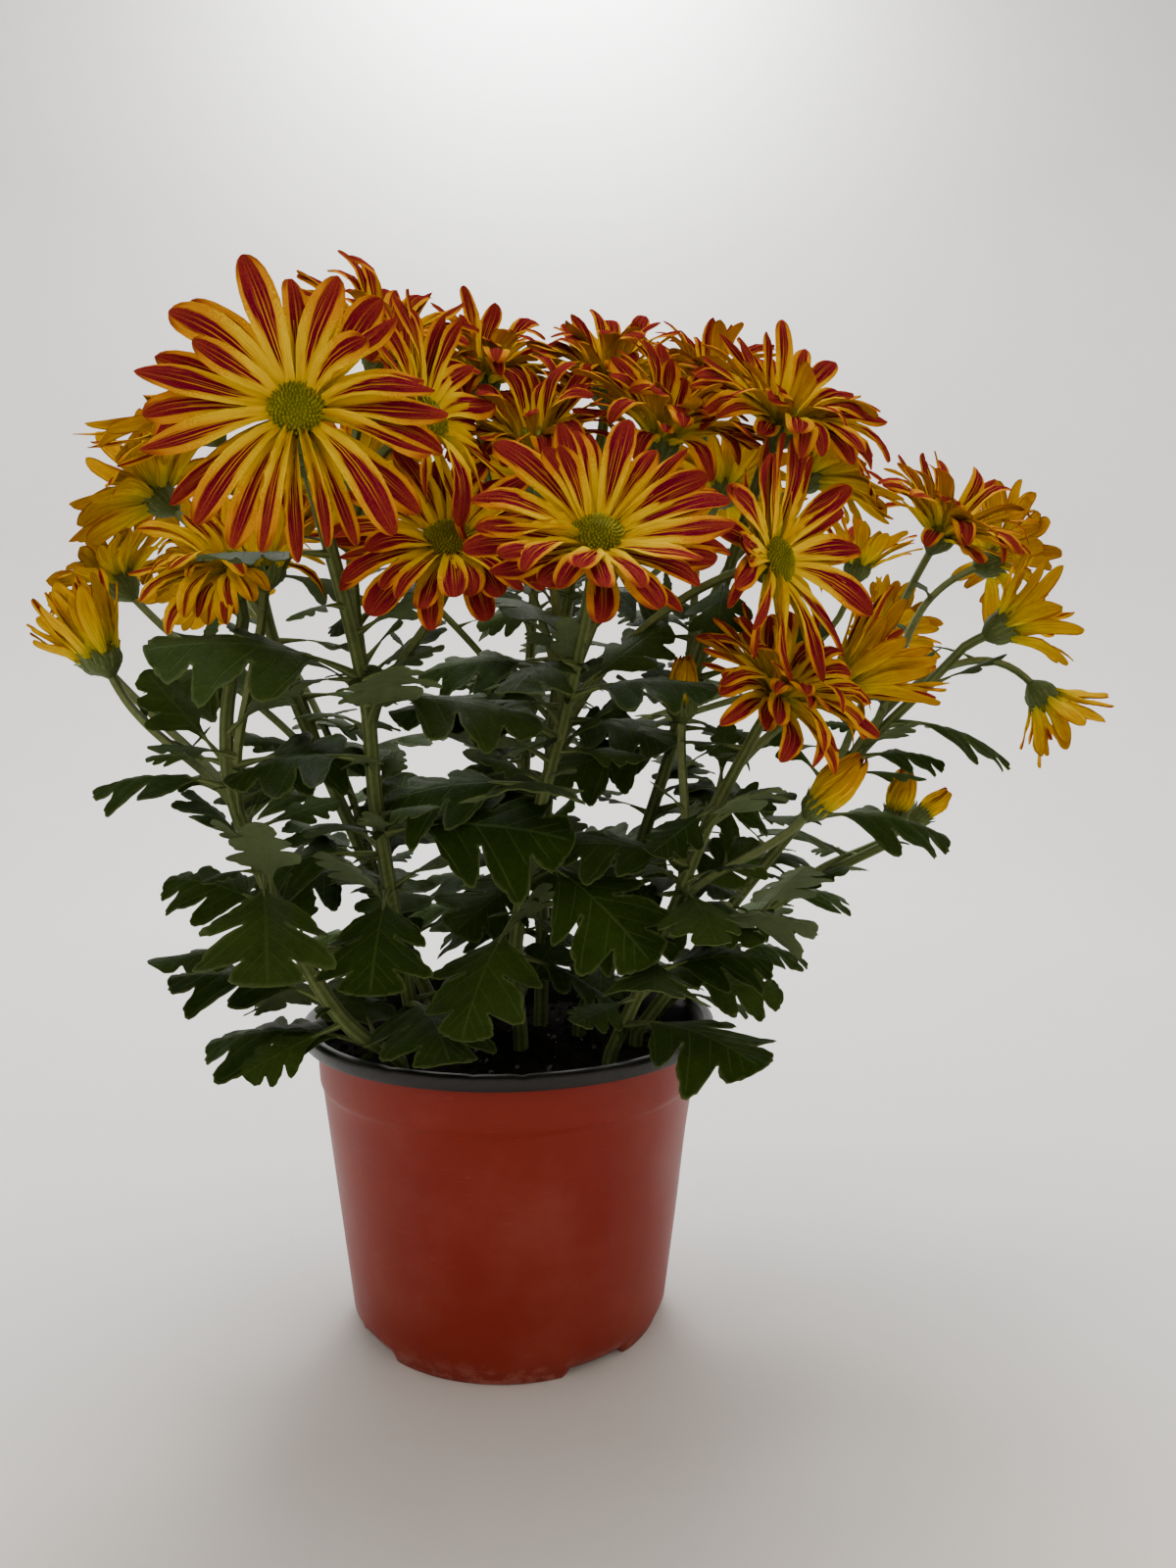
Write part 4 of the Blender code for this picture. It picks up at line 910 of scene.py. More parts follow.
def furledBud(bud, form, petal):
    # a core with two layers of petals wound round it
    rng = random.Random("bud " + bud.name)
    facing, side, up = directionsOf(bud)
    start, heap = scaled(bud.base) + facing * plant["gap"], newHeap()
    length = bud.length * mm
    girth = length * budLook["girth"]

    def radiusAt(share):
        return np.interp(share, *budProfile.T) * girth

    core = [(radiusAt(share) * budLook["core"], share * length * 0.94)
            for share in np.linspace(0, 1, form["segments"] + 1)]
    wrapped = dict(form, under=np.ones(len(form["corners"])))
    pour(heap, wrapped, roundBody(form, start, facing, side, core), 0.5, 0.9)
    for k in range(budLook["petals"]):
        turn = math.tau * (k + rng.uniform(-0.15, 0.15)) / budLook["petals"] * 2
        layer = girth * (0.03 if k * 2 < budLook["petals"] else 0.09)
        tall = length * rng.uniform(0.90, 1.04)
        loose = max(0.0, rng.uniform(-0.3, 1.0) * budLook["loose"] * length)
        path = []
        for share in np.linspace(0, 1, 13):
            away = turned(side, up, turn + budLook["twist"] * share ** 1.5)
            radius = radiusAt(share) + layer + loose * max(0.0, share - 0.7) ** 2 * 8
            path.append(start + facing * tall * share + away * radius)
        width = length * budLook["width"] * rng.uniform(0.85, 1.1)
        inward = -turned(side, up, turn)
        pour(heap, petal, bentPetal(petal, path, facing, inward, width, rng, petalStyles["furled"]),
             rng.random(), rng.uniform(0.5, 0.95))
    pieceFromHeap("furled_" + bud.name, heap, [petalMaterial], ["bud_" + bud.name])


# Stems, flower stalks and calyces

stemLook = {
    "footRadius": 2.7 * mm, "tipRadius": 1.9 * mm, "stalkRadius": 1.5 * mm, "rib": 0.13,
    "launch": 0.35, "arrival": 0.38, "stalkSteps": 16,
    "bractRows": ((9, -4.4, 5.4, 2.5), (11, -3.0, 5.2, 2.6), (12, -1.8, 4.6, 2.4)),
}
# Bowl under each bloom as (radius, height) in millimetres from its seat.
calyxProfile = (
    (1.5, -8.0), (2.2, -7.2), (3.6, -6.0), (4.8, -4.6), (5.6, -2.8), (5.9, -1.0), (5.5, 0.0), (1.0, 0.1))


def smoothRoute(points, perSpan):
    # a curve through the points, with as many steps as asked between each two
    ends = [points[0] * 2 - points[1], *points, points[-1] * 2 - points[-2]]
    route = []
    for a, b, c, d in zip(ends, ends[1:], ends[2:], ends[3:]):
        for step in range(perSpan):
            t = step / perSpan
            route.append(0.5 * (2 * b + (c - a) * t + (2 * a - 5 * b + 4 * c - d) * t ** 2
                                + (3 * b - a - 3 * c + d) * t ** 3))
    return route + [points[-1]]


def placeAlong(route, share):
    # the point at a share of a route's length, and the direction there
    lengths = [0]
    for a, b in zip(route, route[1:]):
        lengths.append(lengths[-1] + (b - a).length)
    wanted = share * lengths[-1]
    index = next((k for k in range(len(route) - 1) if lengths[k + 1] >= wanted), len(route) - 2)
    part = (wanted - lengths[index]) / (lengths[index + 1] - lengths[index])
    return route[index].lerp(route[index + 1], part), (route[index + 1] - route[index]).normalized()


def headOf(name):
    # seat of a bloom's or bud's calyx, the way that it faces, its scale, and where its stalk ends
    head = next(each for each in blooms + buds if each.name == name)
    facing, scale = heading(head.bearing, head.rise), 1.0
    if head in blooms:
        seat = scaled(head.place) - facing * (plant["hubDepth"] + plant["gap"])
    else:
        seat, scale = scaled(head.base), plant["budCalyx"]
    return seat, facing, scale, seat - facing * plant["calyxDepth"] * scale


def shootRoute(shoot, perSpan):
    # foot of a main stem in its hole, and its route from the collar to just under its bloom
    seat, facing, scale, _ = headOf(shoot.endsIn)
    x, y = shoot.foot[0] * mm, shoot.foot[1] * mm
    foot = Vector((x, y, plant["soilTop"] - plant["holeDepth"] + plant["gap"]))
    collar = Vector((foot.x, foot.y, plant["soilTop"] + plant["soilCrown"] + plant["collarLift"]))
    neck = seat - facing * (plant["calyxDepth"] * scale + plant["neckLength"])
    return foot, smoothRoute([collar, *map(scaled, shoot.via), neck], perSpan)


def stalkRoute(shoot, share, name):
    # a flower stalk: leaves the main stem upwards and comes to its bloom from behind
    start, ahead = placeAlong(shootRoute(shoot, 2)[1], share)
    _, facing, _, neck = headOf(name)
    reach = (neck - start).length
    launch = (ahead * 0.6 + Vector((0, 0, 0.4))).normalized() * reach * stemLook["launch"]
    a, b, c, d = start, start + launch, neck - facing * reach * stemLook["arrival"], neck
    return [a * (1 - t) ** 3 + 3 * b * t * (1 - t) ** 2 + 3 * c * t ** 2 * (1 - t) + d * t ** 3
            for t in np.linspace(0, 1, stemLook["stalkSteps"] + 1).tolist()]


def sweep(form, route, radii, rib=0.0):
    # a ribbed tube along a route, its levels spaced evenly; gives its corners and how far each is up a rib
    line = asArray(route)
    lengths = np.concatenate([[0], np.cumsum(np.linalg.norm(np.diff(line, axis=0), axis=1))])
    wanted = np.linspace(0, lengths[-1], form["segments"] + 1)
    spine = readAt(wanted, lengths, line)
    radius = np.interp(wanted, np.linspace(0, lengths[-1], len(radii)), radii)
    across = np.array([0.3, 1.0, 0.1])
    frames = []
    for direction in unit(np.gradient(spine, axis=0)):
        across = across - direction * (across @ direction)
        across = across / np.linalg.norm(across)
        frames.append((across, np.cross(direction, across)))
    frames = np.array(frames)
    ring, level = form["ring"], form["level"]
    turns = ring * math.tau / form["sides"]
    ribbed = (ring % 2 == 0).astype(float)
    reach = radius[level] * (1 + rib * (ribbed - 0.5))
    outward = np.cos(turns)[:, None] * frames[level, 0] + np.sin(turns)[:, None] * frames[level, 1]
    return spine[level] + outward * reach[:, None], ribbed


def bractForm():
    # a small keeled scale, broad at its foot and pointed
    form = modelTube(4, 4)
    flat = [(0.5 + 0.5 * (form["ring"][i] == 0) - 0.5 * (form["ring"][i] == 2), form["level"][i] / 4)
            for face in form["faces"] for i in face]
    return finishForm(form, flat)


def calyx(heap, name, forms, rng):
    # the green bowl under a bloom with three rows of bracts that hug it
    seat, facing, scale, _ = headOf(name)
    hubForm, bract = forms["hub"], forms["bract"]
    side = facing.cross(Vector((0.31, 0.2, 0.93))).normalized()
    up = facing.cross(side).normalized()
    profile = np.array(calyxProfile) * mm * scale
    bowl = readAt(np.linspace(0, 1, hubForm["segments"] + 1), np.linspace(0, 1, len(profile)), profile)
    pour(heap, hubForm, roundBody(hubForm, seat, facing, side, bowl), 0.4, 0.25)
    widths = np.array([0.85, 1.0, 0.92, 0.62, 0.12])
    ring, level = bract["ring"], bract["level"]
    for row, (count, low, length, width) in enumerate(stemLook["bractRows"]):
        for k in range(count):
            outward = turned(side, up, math.tau * (k + 0.5 * (row % 2) + rng.uniform(-0.12, 0.12)) / count)
            across = np.array(facing.cross(outward).normalized())
            heights = (low + np.linspace(0, 1, 5) * length * rng.uniform(0.85, 1.12)) * mm * scale
            radius = np.interp(heights, profile[:-1, 1], profile[:-1, 0])
            flare = np.linspace(0.15, 0.55, 5) * mm * scale + np.clip(heights, 0, None) * 0.45
            spine = (np.array(seat) + np.array(outward) * (radius + flare)[:, None]
                     + np.array(facing) * heights[:, None])
            reach = np.select([ring == 0, ring == 2], [1.0, -1.0], 0.0) * widths[level]
            reach = reach * width * mm * scale / 2
            keel = np.select([ring == 1, ring == 3], [0.28, -0.28], 0.0) * mm * scale + np.abs(reach) * 0.30
            points = spine[level] + across * reach[:, None] - np.array(outward) * keel[:, None]
            pour(heap, bract, points, rng.random(), np.where(ring % 2 == 0, 0.9, 0.1))


# Leaves

leafLook = {
    "thickness": 0.4 * mm, "quilt": 0.016, "grid": 0.055, "wave": 1.3 * mm, "smallShare": (0.16, 0.24),
    "petioleFoot": 1.5 * mm, "petioleTip": 0.8 * mm, "droops": (0, 46), "lean": 0.30, "rim": 0.006,
    "fullness": {
        "left_front": 0.75, "right_front": 0.65, "right": 0.4, "low_right": 0.25, "back": 1.4, "centre": 1.3,
    },
    "broadLeaves": 6, "broadLength": (38, 58), "broadRise": (-16, 42), "broadRoll": (-20, 50),
    "wedgeLeaves": 9, "wedgeLength": (30, 52), "wedgeRise": (-20, 55), "wedgeRoll": (-20, 50),
    "mediumLeaves": 7, "mediumLength": (20, 38), "mediumRise": (0, 58), "mediumRoll": (-10, 40),
    "narrowLength": (11, 26), "narrowRise": (8, 60), "narrowRoll": (0, 20),
}

# Right-hand outlines as (along, across) in shares of the blade's length.
bigOutline = (
    (0, 0.022), (0.04, 0.05), (0.07, 0.10), (0.085, 0.17), (0.10, 0.24), (0.13, 0.275), (0.15, 0.33),
    (0.19, 0.375), (0.225, 0.385), (0.25, 0.425), (0.29, 0.44), (0.325, 0.425), (0.345, 0.375), (0.36, 0.36),
    (0.368, 0.29), (0.37, 0.21), (0.376, 0.155), (0.388, 0.15), (0.396, 0.20), (0.412, 0.27), (0.44, 0.315),
    (0.46, 0.36), (0.50, 0.385), (0.535, 0.39), (0.56, 0.43), (0.60, 0.45), (0.64, 0.44), (0.665, 0.40),
    (0.685, 0.385), (0.695, 0.31), (0.70, 0.23), (0.708, 0.165), (0.722, 0.155), (0.735, 0.19),
    (0.765, 0.225), (0.80, 0.235), (0.83, 0.255), (0.86, 0.235), (0.885, 0.20), (0.91, 0.185), (0.93, 0.13),
    (0.955, 0.105), (0.98, 0.055), (1, 0))
wedgeOutline = (
    (0, 0.02), (0.10, 0.045), (0.18, 0.08), (0.22, 0.15), (0.25, 0.225), (0.29, 0.26), (0.32, 0.315),
    (0.37, 0.345), (0.42, 0.35), (0.45, 0.31), (0.465, 0.235), (0.47, 0.165), (0.485, 0.155), (0.50, 0.20),
    (0.53, 0.255), (0.57, 0.275), (0.60, 0.315), (0.65, 0.32), (0.69, 0.29), (0.705, 0.22), (0.715, 0.16),
    (0.735, 0.155), (0.76, 0.185), (0.80, 0.205), (0.84, 0.19), (0.88, 0.175), (0.92, 0.12), (0.96, 0.075),
    (1, 0))
mediumOutline = (
    (0, 0.02), (0.12, 0.045), (0.22, 0.08), (0.28, 0.14), (0.33, 0.21), (0.38, 0.26), (0.44, 0.265),
    (0.475, 0.23), (0.49, 0.16), (0.50, 0.125), (0.53, 0.15), (0.57, 0.20), (0.63, 0.225), (0.68, 0.20),
    (0.70, 0.14), (0.73, 0.12), (0.78, 0.15), (0.84, 0.15), (0.90, 0.11), (0.95, 0.07), (1, 0))
narrowOutline = (
    (0, 0.02), (0.15, 0.06), (0.3, 0.12), (0.36, 0.11), (0.48, 0.16), (0.54, 0.12), (0.68, 0.13),
    (0.74, 0.09), (0.86, 0.08), (1, 0))


def insideOutline(edge, p, margin):
    # whether a point lies within a closed outline, and not nearer to it than the margin
    crossings = 0
    for a, b in zip(edge, edge[1:] + edge[:1]):
        if (a.y > p.y) != (b.y > p.y) and p.x < (b.x - a.x) * (p.y - a.y) / (b.y - a.y) + a.x:
            crossings += 1
        span = b - a
        part = max(0.0, min(1.0, (p - a).dot(span) / max(span.length_squared, 1e-9)))
        if (p - a - span * part).length < margin:
            return False
    return crossings % 2 == 1


def leafForm(outline, grid, veins):
    # a flat leaf cut from its outline, quilted between its veins and given its thickness with Solidify
    right = [Vector((x + leafLook["lean"] * y, y)) for x, y in outline[:-1]]
    edge = right + [Vector(outline[-1])] + [Vector((p.x, -p.y)) for p in reversed(right)]
    inner = [Vector((x, 0)) for x in np.arange(0.04, 0.97, grid * 0.8)]
    lines = [(start, end, slope) for start, end, slope, _ in leafVeinLines] if veins else []
    for start, end, slope in lines:
        for x in np.arange(start + grid * 0.6, end - 0.02, grid * 0.45):
            inner += [Vector((x, (x - start) * slope * mirror)) for mirror in (1, -1)]
    reach = max(p.y for p in right)
    for row, x in enumerate(np.arange(grid / 2, 1, grid)):
        for y in np.arange(grid * (0.5 + 0.5 * (row % 2)), reach, grid):
            inner += [Vector((x, y)), Vector((x, -y))]
    kept = []
    for before, point, after in zip(edge[-1:] + edge, edge, edge[1:] + edge[:1]) if veins else ():
        rimPoint = point + (after - before).orthogonal().normalized() * leafLook["rim"]
        if insideOutline(edge, rimPoint, leafLook["rim"] * 0.6):
            kept.append(rimPoint)
    for p in inner:
        if insideOutline(edge, p, grid * 0.3) and all((p - q).length > grid * 0.42 for q in kept):
            kept.append(p)
    count = len(edge)
    corners, _, faces, *_ = delaunay_2d_cdt(edge + kept, [], [list(range(count))], 1, 1e-5)
    used = sorted({index for face in faces for index in face})
    order = {index: place for place, index in enumerate(used)}
    flatX = np.array([corners[index].x for index in used])
    flatY = np.array([corners[index].y for index in used])
    near = np.abs(flatY)
    for start, end, slope in lines:
        spanX = np.clip(((flatX - start) + np.abs(flatY) * slope) / (1 + slope ** 2), 0, end - start)
        near = np.minimum(near, np.hypot(flatX - start - spanX, np.abs(flatY) - spanX * slope))
    quilt = leafLook["quilt"] * (1 - np.exp(-(near / 0.035) ** 2))
    mesh = bpy.data.meshes.new("leaf form")
    mesh.from_pydata(np.stack([flatX, flatY, quilt], axis=1).tolist(), [],
                     [tuple(order[index] for index in face) for face in faces])
    leaf = addObject("leaf form", mesh)
    if mesh.polygons[0].normal.z < 0:
        mesh.flip_normals()
    solid = leaf.modifiers.new("Thickness", "SOLIDIFY")
    solid.thickness = 0.004
    solid.offset = -1
    bpy.ops.object.modifier_apply(modifier=solid.name)
    total = len(used)
    rim = {order[index] for index in range(count) if index in order}
    form = {"faces": [tuple(p.vertices) for p in leaf.data.polygons],
            "x": np.concatenate([flatX, flatX]), "y": np.concatenate([flatY, flatY]),
            "quilt": np.concatenate([quilt, quilt]), "lift": np.repeat([0.5, -0.5], total)}
    bpy.data.objects.remove(leaf)
    form["margin"] = np.array([float(index % total in rim) * (veins or min(face) < total <= max(face))
                               for face in form["faces"] for index in face])
    under = [float(min(face) >= total) for face in form["faces"] for _ in face]
    flat = [(form["x"][index], 0.5 + form["y"][index]) for face in form["faces"] for index in face]
    return finishForm(form, flat, under)


def leafArch(reachedX, rise, length, droop=plant["leafDroop"]):
    # how far out and up a leaf's middle line has come, and its slope there; it bends down evenly
    bend, start = math.radians(droop) / length, math.radians(rise)
    slope = start - bend * reachedX
    return (np.sin(start) - np.sin(slope)) / bend, (np.cos(slope) - np.cos(start)) / bend, slope


def leafTurn(bearing, rise, roll):
    return Quaternion(heading(bearing, rise), math.radians(roll) * math.sin(math.radians(bearing)))


def leafTip(root, bearing, rise, length, roll):
    # the two corners at the tip of a packed leaf
    out, climb, slope = leafArch(length, rise, length)
    middle = heading(bearing, 0) * float(out) + Vector((0, 0, float(climb)))
    down = heading(bearing + 90, 0).cross(heading(bearing, math.degrees(slope)))
    lift = down * math.cos(math.radians(plant["leafFold"])) * plant["leafThickness"] / 2
    turn = leafTurn(bearing, rise, roll)
    return root + turn @ (middle + lift), root + turn @ (middle - lift)


def layLeaf(form, place, rng, petioleShare=plant["petioleShare"], droop=plant["leafDroop"]):
    # bends a flat leaf over its arch, folds it along its rib, and waves its margins
    root, bearing, rise, length, roll = place
    petiole = length * petioleShare
    blade = length - petiole
    x, y = form["x"], form["y"]
    warp = 1 + 0.10 * np.sin(x * rng.uniform(5, 9) + rng.uniform(0, 6))
    warp = warp + rng.uniform(-0.08, 0.08) * np.sign(y)
    reachedX, reachedY = petiole + blade * x, blade * y * warp
    out, climb, slope = leafArch(reachedX, rise, length, droop)
    outward, side = np.array(heading(bearing, 0)), np.array(heading(bearing + 90, 0))
    upright = np.array([0, 0, 1.0])
    middle = outward * out[:, None] + upright * climb[:, None]
    up = np.cross(outward * np.cos(slope)[:, None] + upright * np.sin(slope)[:, None], side)
    fold = math.radians(plant["leafFold"])
    away = np.sqrt(reachedY ** 2 + (0.5 * mm) ** 2) - 0.5 * mm
    phase = x * rng.uniform(10, 16) + rng.uniform(0, 6) + np.sign(y) * rng.uniform(0.5, 2)
    wave = leafLook["wave"] * (np.abs(y) / 0.4) ** 1.5 * np.sin(phase) * blade / 0.045
    lift = form["lift"] * leafLook["thickness"] + form["quilt"] * blade + wave
    points = (middle + side * (reachedY * math.cos(fold))[:, None]
              + up * (lift * math.cos(fold) - away * math.sin(fold))[:, None])
    return np.array(root) + points @ np.array(leafTurn(bearing, rise, roll).to_matrix()).T


def layPetiole(form, place, thick=1.0, droop=plant["leafDroop"]):
    # the stalk of a leaf, along the same arch
    root, bearing, rise, length, roll = place
    petiole = length * plant["petioleShare"]
    reached = np.linspace(0, petiole + (length - petiole) * 0.12, 9)
    out, climb, _ = leafArch(reached, rise, length, droop)
    turn = leafTurn(bearing, rise, roll)
    line = [root + turn @ (heading(bearing, 0) * o + Vector((0, 0, c)))
            for o, c in zip(out.tolist(), climb.tolist())]
    foot, tip = leafLook["petioleFoot"] * thick, leafLook["petioleTip"] * thick
    return sweep(form, line, [foot * 1.25, foot * 0.85, tip, tip * 0.6], 0.1)


def addFreeLeaf(heap, forms, kind, root, bearing, rng, owner, placed):
    # a leaf that only the scene has, in the first direction that is clear
    length = rng.uniform(*leafLook[kind + "Length"]) * mm
    for attempt in range(9):
        way = bearing + rng.uniform(-20, 20) + 37 * attempt * (-1) ** attempt
        rise, roll = rng.uniform(*leafLook[kind + "Rise"]), rng.uniform(*leafLook[kind + "Roll"])
        place = (root, way, rise, length * (1 - 0.06 * attempt), roll)
        droop = rng.uniform(*leafLook["droops"])
        points = layLeaf(forms[kind], place, rng, droop=droop)
        if points[:, 2].min() < 4 * mm:
            continue
        tree = surfaceOf(forms[kind], points)
        if crosses(tree, points, (owner,), placed):
            continue
        stalk, ribs = layPetiole(forms["petiole"], place, 0.62 if kind == "narrow" else 0.85, droop)
        pour(heap, forms[kind], points, rng.uniform(0.1, 1.0), forms[kind]["margin"], 1)
        pour(heap, forms["petiole"], stalk, 0.5, ribs)
        placed.append((points.min(axis=0), points.max(axis=0), tree))
        return


def makeShoot(shoot, forms, placed):
    # stems with their calyces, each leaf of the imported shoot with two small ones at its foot, and more leaves
    rng = random.Random("shoot " + shoot.name)
    owner = "shoot_" + shoot.name
    foot, fine = shootRoute(shoot, 8)
    coarse = shootRoute(shoot, 2)[1]
    stems, leaves, stalks = newHeap(), newHeap(), []
    stem = [foot] + fine + [headOf(shoot.endsIn)[3]]
    radii = [stemLook["footRadius"], stemLook["tipRadius"]]
    points, ribs = sweep(forms["stem"], stem, radii, stemLook["rib"])
    pour(stems, forms["stem"], points, rng.random(), ribs)
    calyx(stems, shoot.endsIn, forms, rng)
    for share, name in shoot.branches:
        stalks.append(stalkRoute(shoot, share, name))
        radii = [stemLook["stalkRadius"] * 1.25] + [stemLook["stalkRadius"]] * 4
        points, ribs = sweep(forms["stalk"], stalks[-1], radii, stemLook["rib"])
        pour(stems, forms["stalk"], points, rng.random(), ribs)
        calyx(stems, name, forms, rng)
    corners = nodeTree(owner)
    for share, bearing, rise, length, roll in shoot.leaves:
        root = placeAlong(coarse, share)[0]
        for turn, lift, size in leafTries:
            place = (root, bearing + turn, rise + lift, length * size * mm, roll)
            if min(corners.find(tip)[2] for tip in leafTip(*place)) > 0.2 * mm:
                continue
            points = layLeaf(forms["big"], place, rng)
            pour(leaves, forms["big"], points, rng.uniform(0, 0.6), forms["big"]["margin"], 1)
            stalk, ribs = layPetiole(forms["petiole"], place)
            pour(leaves, forms["petiole"], stalk, 0.4, ribs)
            placed.append((points.min(axis=0), points.max(axis=0), surfaceOf(forms["big"], points)))
            for mirror in (1, -1):
                way, small = bearing + turn + mirror * rng.uniform(38, 60), rng.uniform(5, 30)
                nearRoot = (root, way, small, length * size * mm * rng.uniform(*leafLook["smallShare"]), 0)
                points = layLeaf(forms["narrow"], nearRoot, rng, 0.02)
                pour(leaves, forms["narrow"], points, rng.uniform(0.2, 0.8), forms["narrow"]["margin"], 1)
            break
        else:
            print("A leaf was not found in the packed model:", shoot.name, share)
    bearing = rng.uniform(0, 360)
    for kind, low, high in (("broad", 0.06, 0.70), ("wedge", 0.10, 0.85), ("medium", 0.30, 0.95)):
        count = round(leafLook[kind + "Leaves"] * leafLook["fullness"].get(shoot.name, 1.0))
        for k in range(count):
            bearing += 137.5
            root = placeAlong(fine, low + (high - low) * (k + rng.random()) / count)[0]
            addFreeLeaf(leaves, forms, kind, root, bearing, rng, owner, placed)
    for route in stalks:
        for share, kind in ((0.05, "medium"), (0.25, "medium"), (0.48, "narrow"), (0.72, "narrow")):
            bearing += 137.5
            addFreeLeaf(leaves, forms, kind, placeAlong(route, share)[0], bearing, rng, owner, placed)
    pieceFromHeap("stems_" + shoot.name, stems, [stemMaterial], [owner], 60)
    pieceFromHeap("leaves_" + shoot.name, leaves, [stemMaterial, leafMaterial], [owner], 60)


# Pot and potting mix: profiles of (radius, height) in millimetres, spun round the pot's axis

potLook = {
    "steps": 240, "wallRows": 14, "notchBearings": (32, 122, 212, 302), "notchHalf": 13.2, "notchEdge": 2.0,
    "notchHeight": 2.8 * mm, "flareHeight": 7 * mm, "footInner": 49.5 * mm, "lipBottom": 104.85 * mm,
    "dentBearing": 64, "dentHeight": 66 * mm, "dentWide": 17, "dentTall": 15 * mm, "dentDeep": 0.9 * mm,
    "outOfRound": 0.25 * mm, "nicks": ((-31, 0.45), (-9, 0.30), (3, 0.5), (140, 0.4)),
}


def innerRadius(height):
    # inner face of the tapering wall, in millimetres
    return 56.4 + (height - 8) / 97 * (68.6 - 56.4)


def potProfile():
    rows = potLook["wallRows"]
    profile = [(0, 0), (9, 0), (17.4, 0), (18, 0.25), (20.6, 2.8), (21.6, 3), (35, 3), (49.2, 3), (50, 2.6),
               (50.9, 0.4), (51.4, 0), (54, 0), (54.6, 0.45), (55.6, 2.8), (57.2, 6.2), (57.7, 7.4)]
    profile += [(57.7 + (67.75 - 57.7) * k / rows, 7.4 + (87.9 - 7.4) * k / rows) for k in range(1, rows + 1)]
    profile += [(68.0, 88.7), (68.5, 89.6), (68.75, 90.6)]
    profile += [(68.75 + 0.95 * k / 5, 90.6 + 13.6 * k / 5) for k in range(1, 6)]
    profile += [(69.85, 104.75), (70.6, 104.95), (73.8, 104.95), (74.7, 105.25), (75, 106)]
    profile += [(73.3 + 1.7 * math.cos(turn), 108.3 + 1.7 * math.sin(turn))
                for turn in (math.pi * k / 12 for k in range(7))]
    profile += [(71.6, 109.9), (70.5, 109.2), (69.6, 107.6), (68.9, 106)]
    profile += [(innerRadius(105 - 97 * k / rows), 105 - 97 * k / rows) for k in range(rows + 1)]
    profile += [(55, 5.2), (53.2, 4.5), (21, 4.2), (19.2, 1.3), (0, 1.2)]
    return profile


def spinProfile(name, profile, steps):
    # a drawn profile spun a full turn, its seam and poles closed
    mesh = bpy.data.meshes.new(name)
    mesh.from_pydata([(r * mm, 0, z * mm) for r, z in profile],
                     [(k, k + 1) for k in range(len(profile) - 1)], [])
    spun = addObject(name, mesh)
    bpy.ops.object.mode_set(mode="EDIT")
    bpy.ops.mesh.select_all(action="SELECT")
    bpy.ops.mesh.spin(steps=steps, angle=math.tau, center=(0, 0, 0), axis=(0, 0, 1))
    bpy.ops.mesh.select_all(action="SELECT")
    bpy.ops.mesh.remove_doubles(threshold=0.00002)
    bpy.ops.mesh.normals_make_consistent(inside=False)
    bpy.ops.object.mode_set(mode="OBJECT")
    # its faces are sorted, because their order isn't the same each run
    points, faces = [v.co.copy() for v in mesh.vertices], sorted(tuple(p.vertices) for p in mesh.polygons)
    mesh.clear_geometry()
    mesh.from_pydata(points, [], faces)
    mesh.shade_smooth()
    return spun


def turnedAway(bearing, other):
    # smallest angle between two bearings
    return abs((bearing - other + 180) % 360 - 180)


def makePot():
    # notches in the foot, a dent and an uneven round in the wall, and small nicks in the rim
    pot = spinProfile("pot_shell", potProfile(), potLook["steps"])
    for vertex in pot.data.vertices:
        place = vertex.co
        radius, bearing = math.hypot(place.x, place.y), math.degrees(math.atan2(place.x, -place.y))
        if radius > potLook["footInner"] and place.z < potLook["flareHeight"]:
            away = min(turnedAway(bearing, notch) for notch in potLook["notchBearings"])
            cut = min(1.0, max(0.0, (potLook["notchHalf"] - away) / potLook["notchEdge"]))
            place.z += potLook["notchHeight"] * cut * (1 - place.z / potLook["flareHeight"])
        if radius > 50 * mm:
            around = turnedAway(bearing, potLook["dentBearing"]) / potLook["dentWide"]
            above = (place.z - potLook["dentHeight"]) / potLook["dentTall"]
            uneven = potLook["outOfRound"] * math.cos(math.radians(3 * bearing + 40)) * place.z / (110 * mm)
            factor = 1 + (uneven - math.exp(-around ** 2 - above ** 2) * potLook["dentDeep"]) / radius
            place.x *= factor
            place.y *= factor
        if place.z > 107 * mm:
            place.z -= mm * sum(deep * math.exp(-(turnedAway(bearing, nick) / 1.3) ** 2)
                                for nick, deep in potLook["nicks"])
    pot.data.materials.append(terracottaMaterial)
    pot.data.materials.append(blackMaterial)
    for face in pot.data.polygons:
        centre, normal = face.center, face.normal
        radius = math.hypot(centre.x, centre.y)
        inward = (centre.x * normal.x + centre.y * normal.y) / max(radius, 1e-6)
        lining = centre.z > 4 * mm and (inward < -0.3 or normal.z > 0.5) and radius < 69 * mm
        face.material_index = int(centre.z > potLook["lipBottom"] or lining)
    pot.data.set_sharp_from_angle(angle=math.radians(40))
    dress(pot, ["pot"])


soilLook = {
    "rings": 44, "steps": 150, "rough": 0.55 * mm, "crumbs": 520, "crumbSize": (0.5, 1.7), "paleShare": 0.10,
}


def soilHeight(x, y, rim):
    # a low crown with slow waves that end at the rim
    share = min(1.0, math.hypot(x, y) / rim)
    swell = (math.sin(x * 95 + 1.3) * math.cos(y * 80 - 0.4) + 0.6 * math.sin(x * 210 + y * 170)) * 0.8 * mm
    return plant["soilTop"] + plant["soilCrown"] * (1 - share ** 2.2) + swell * (1 - share ** 8)


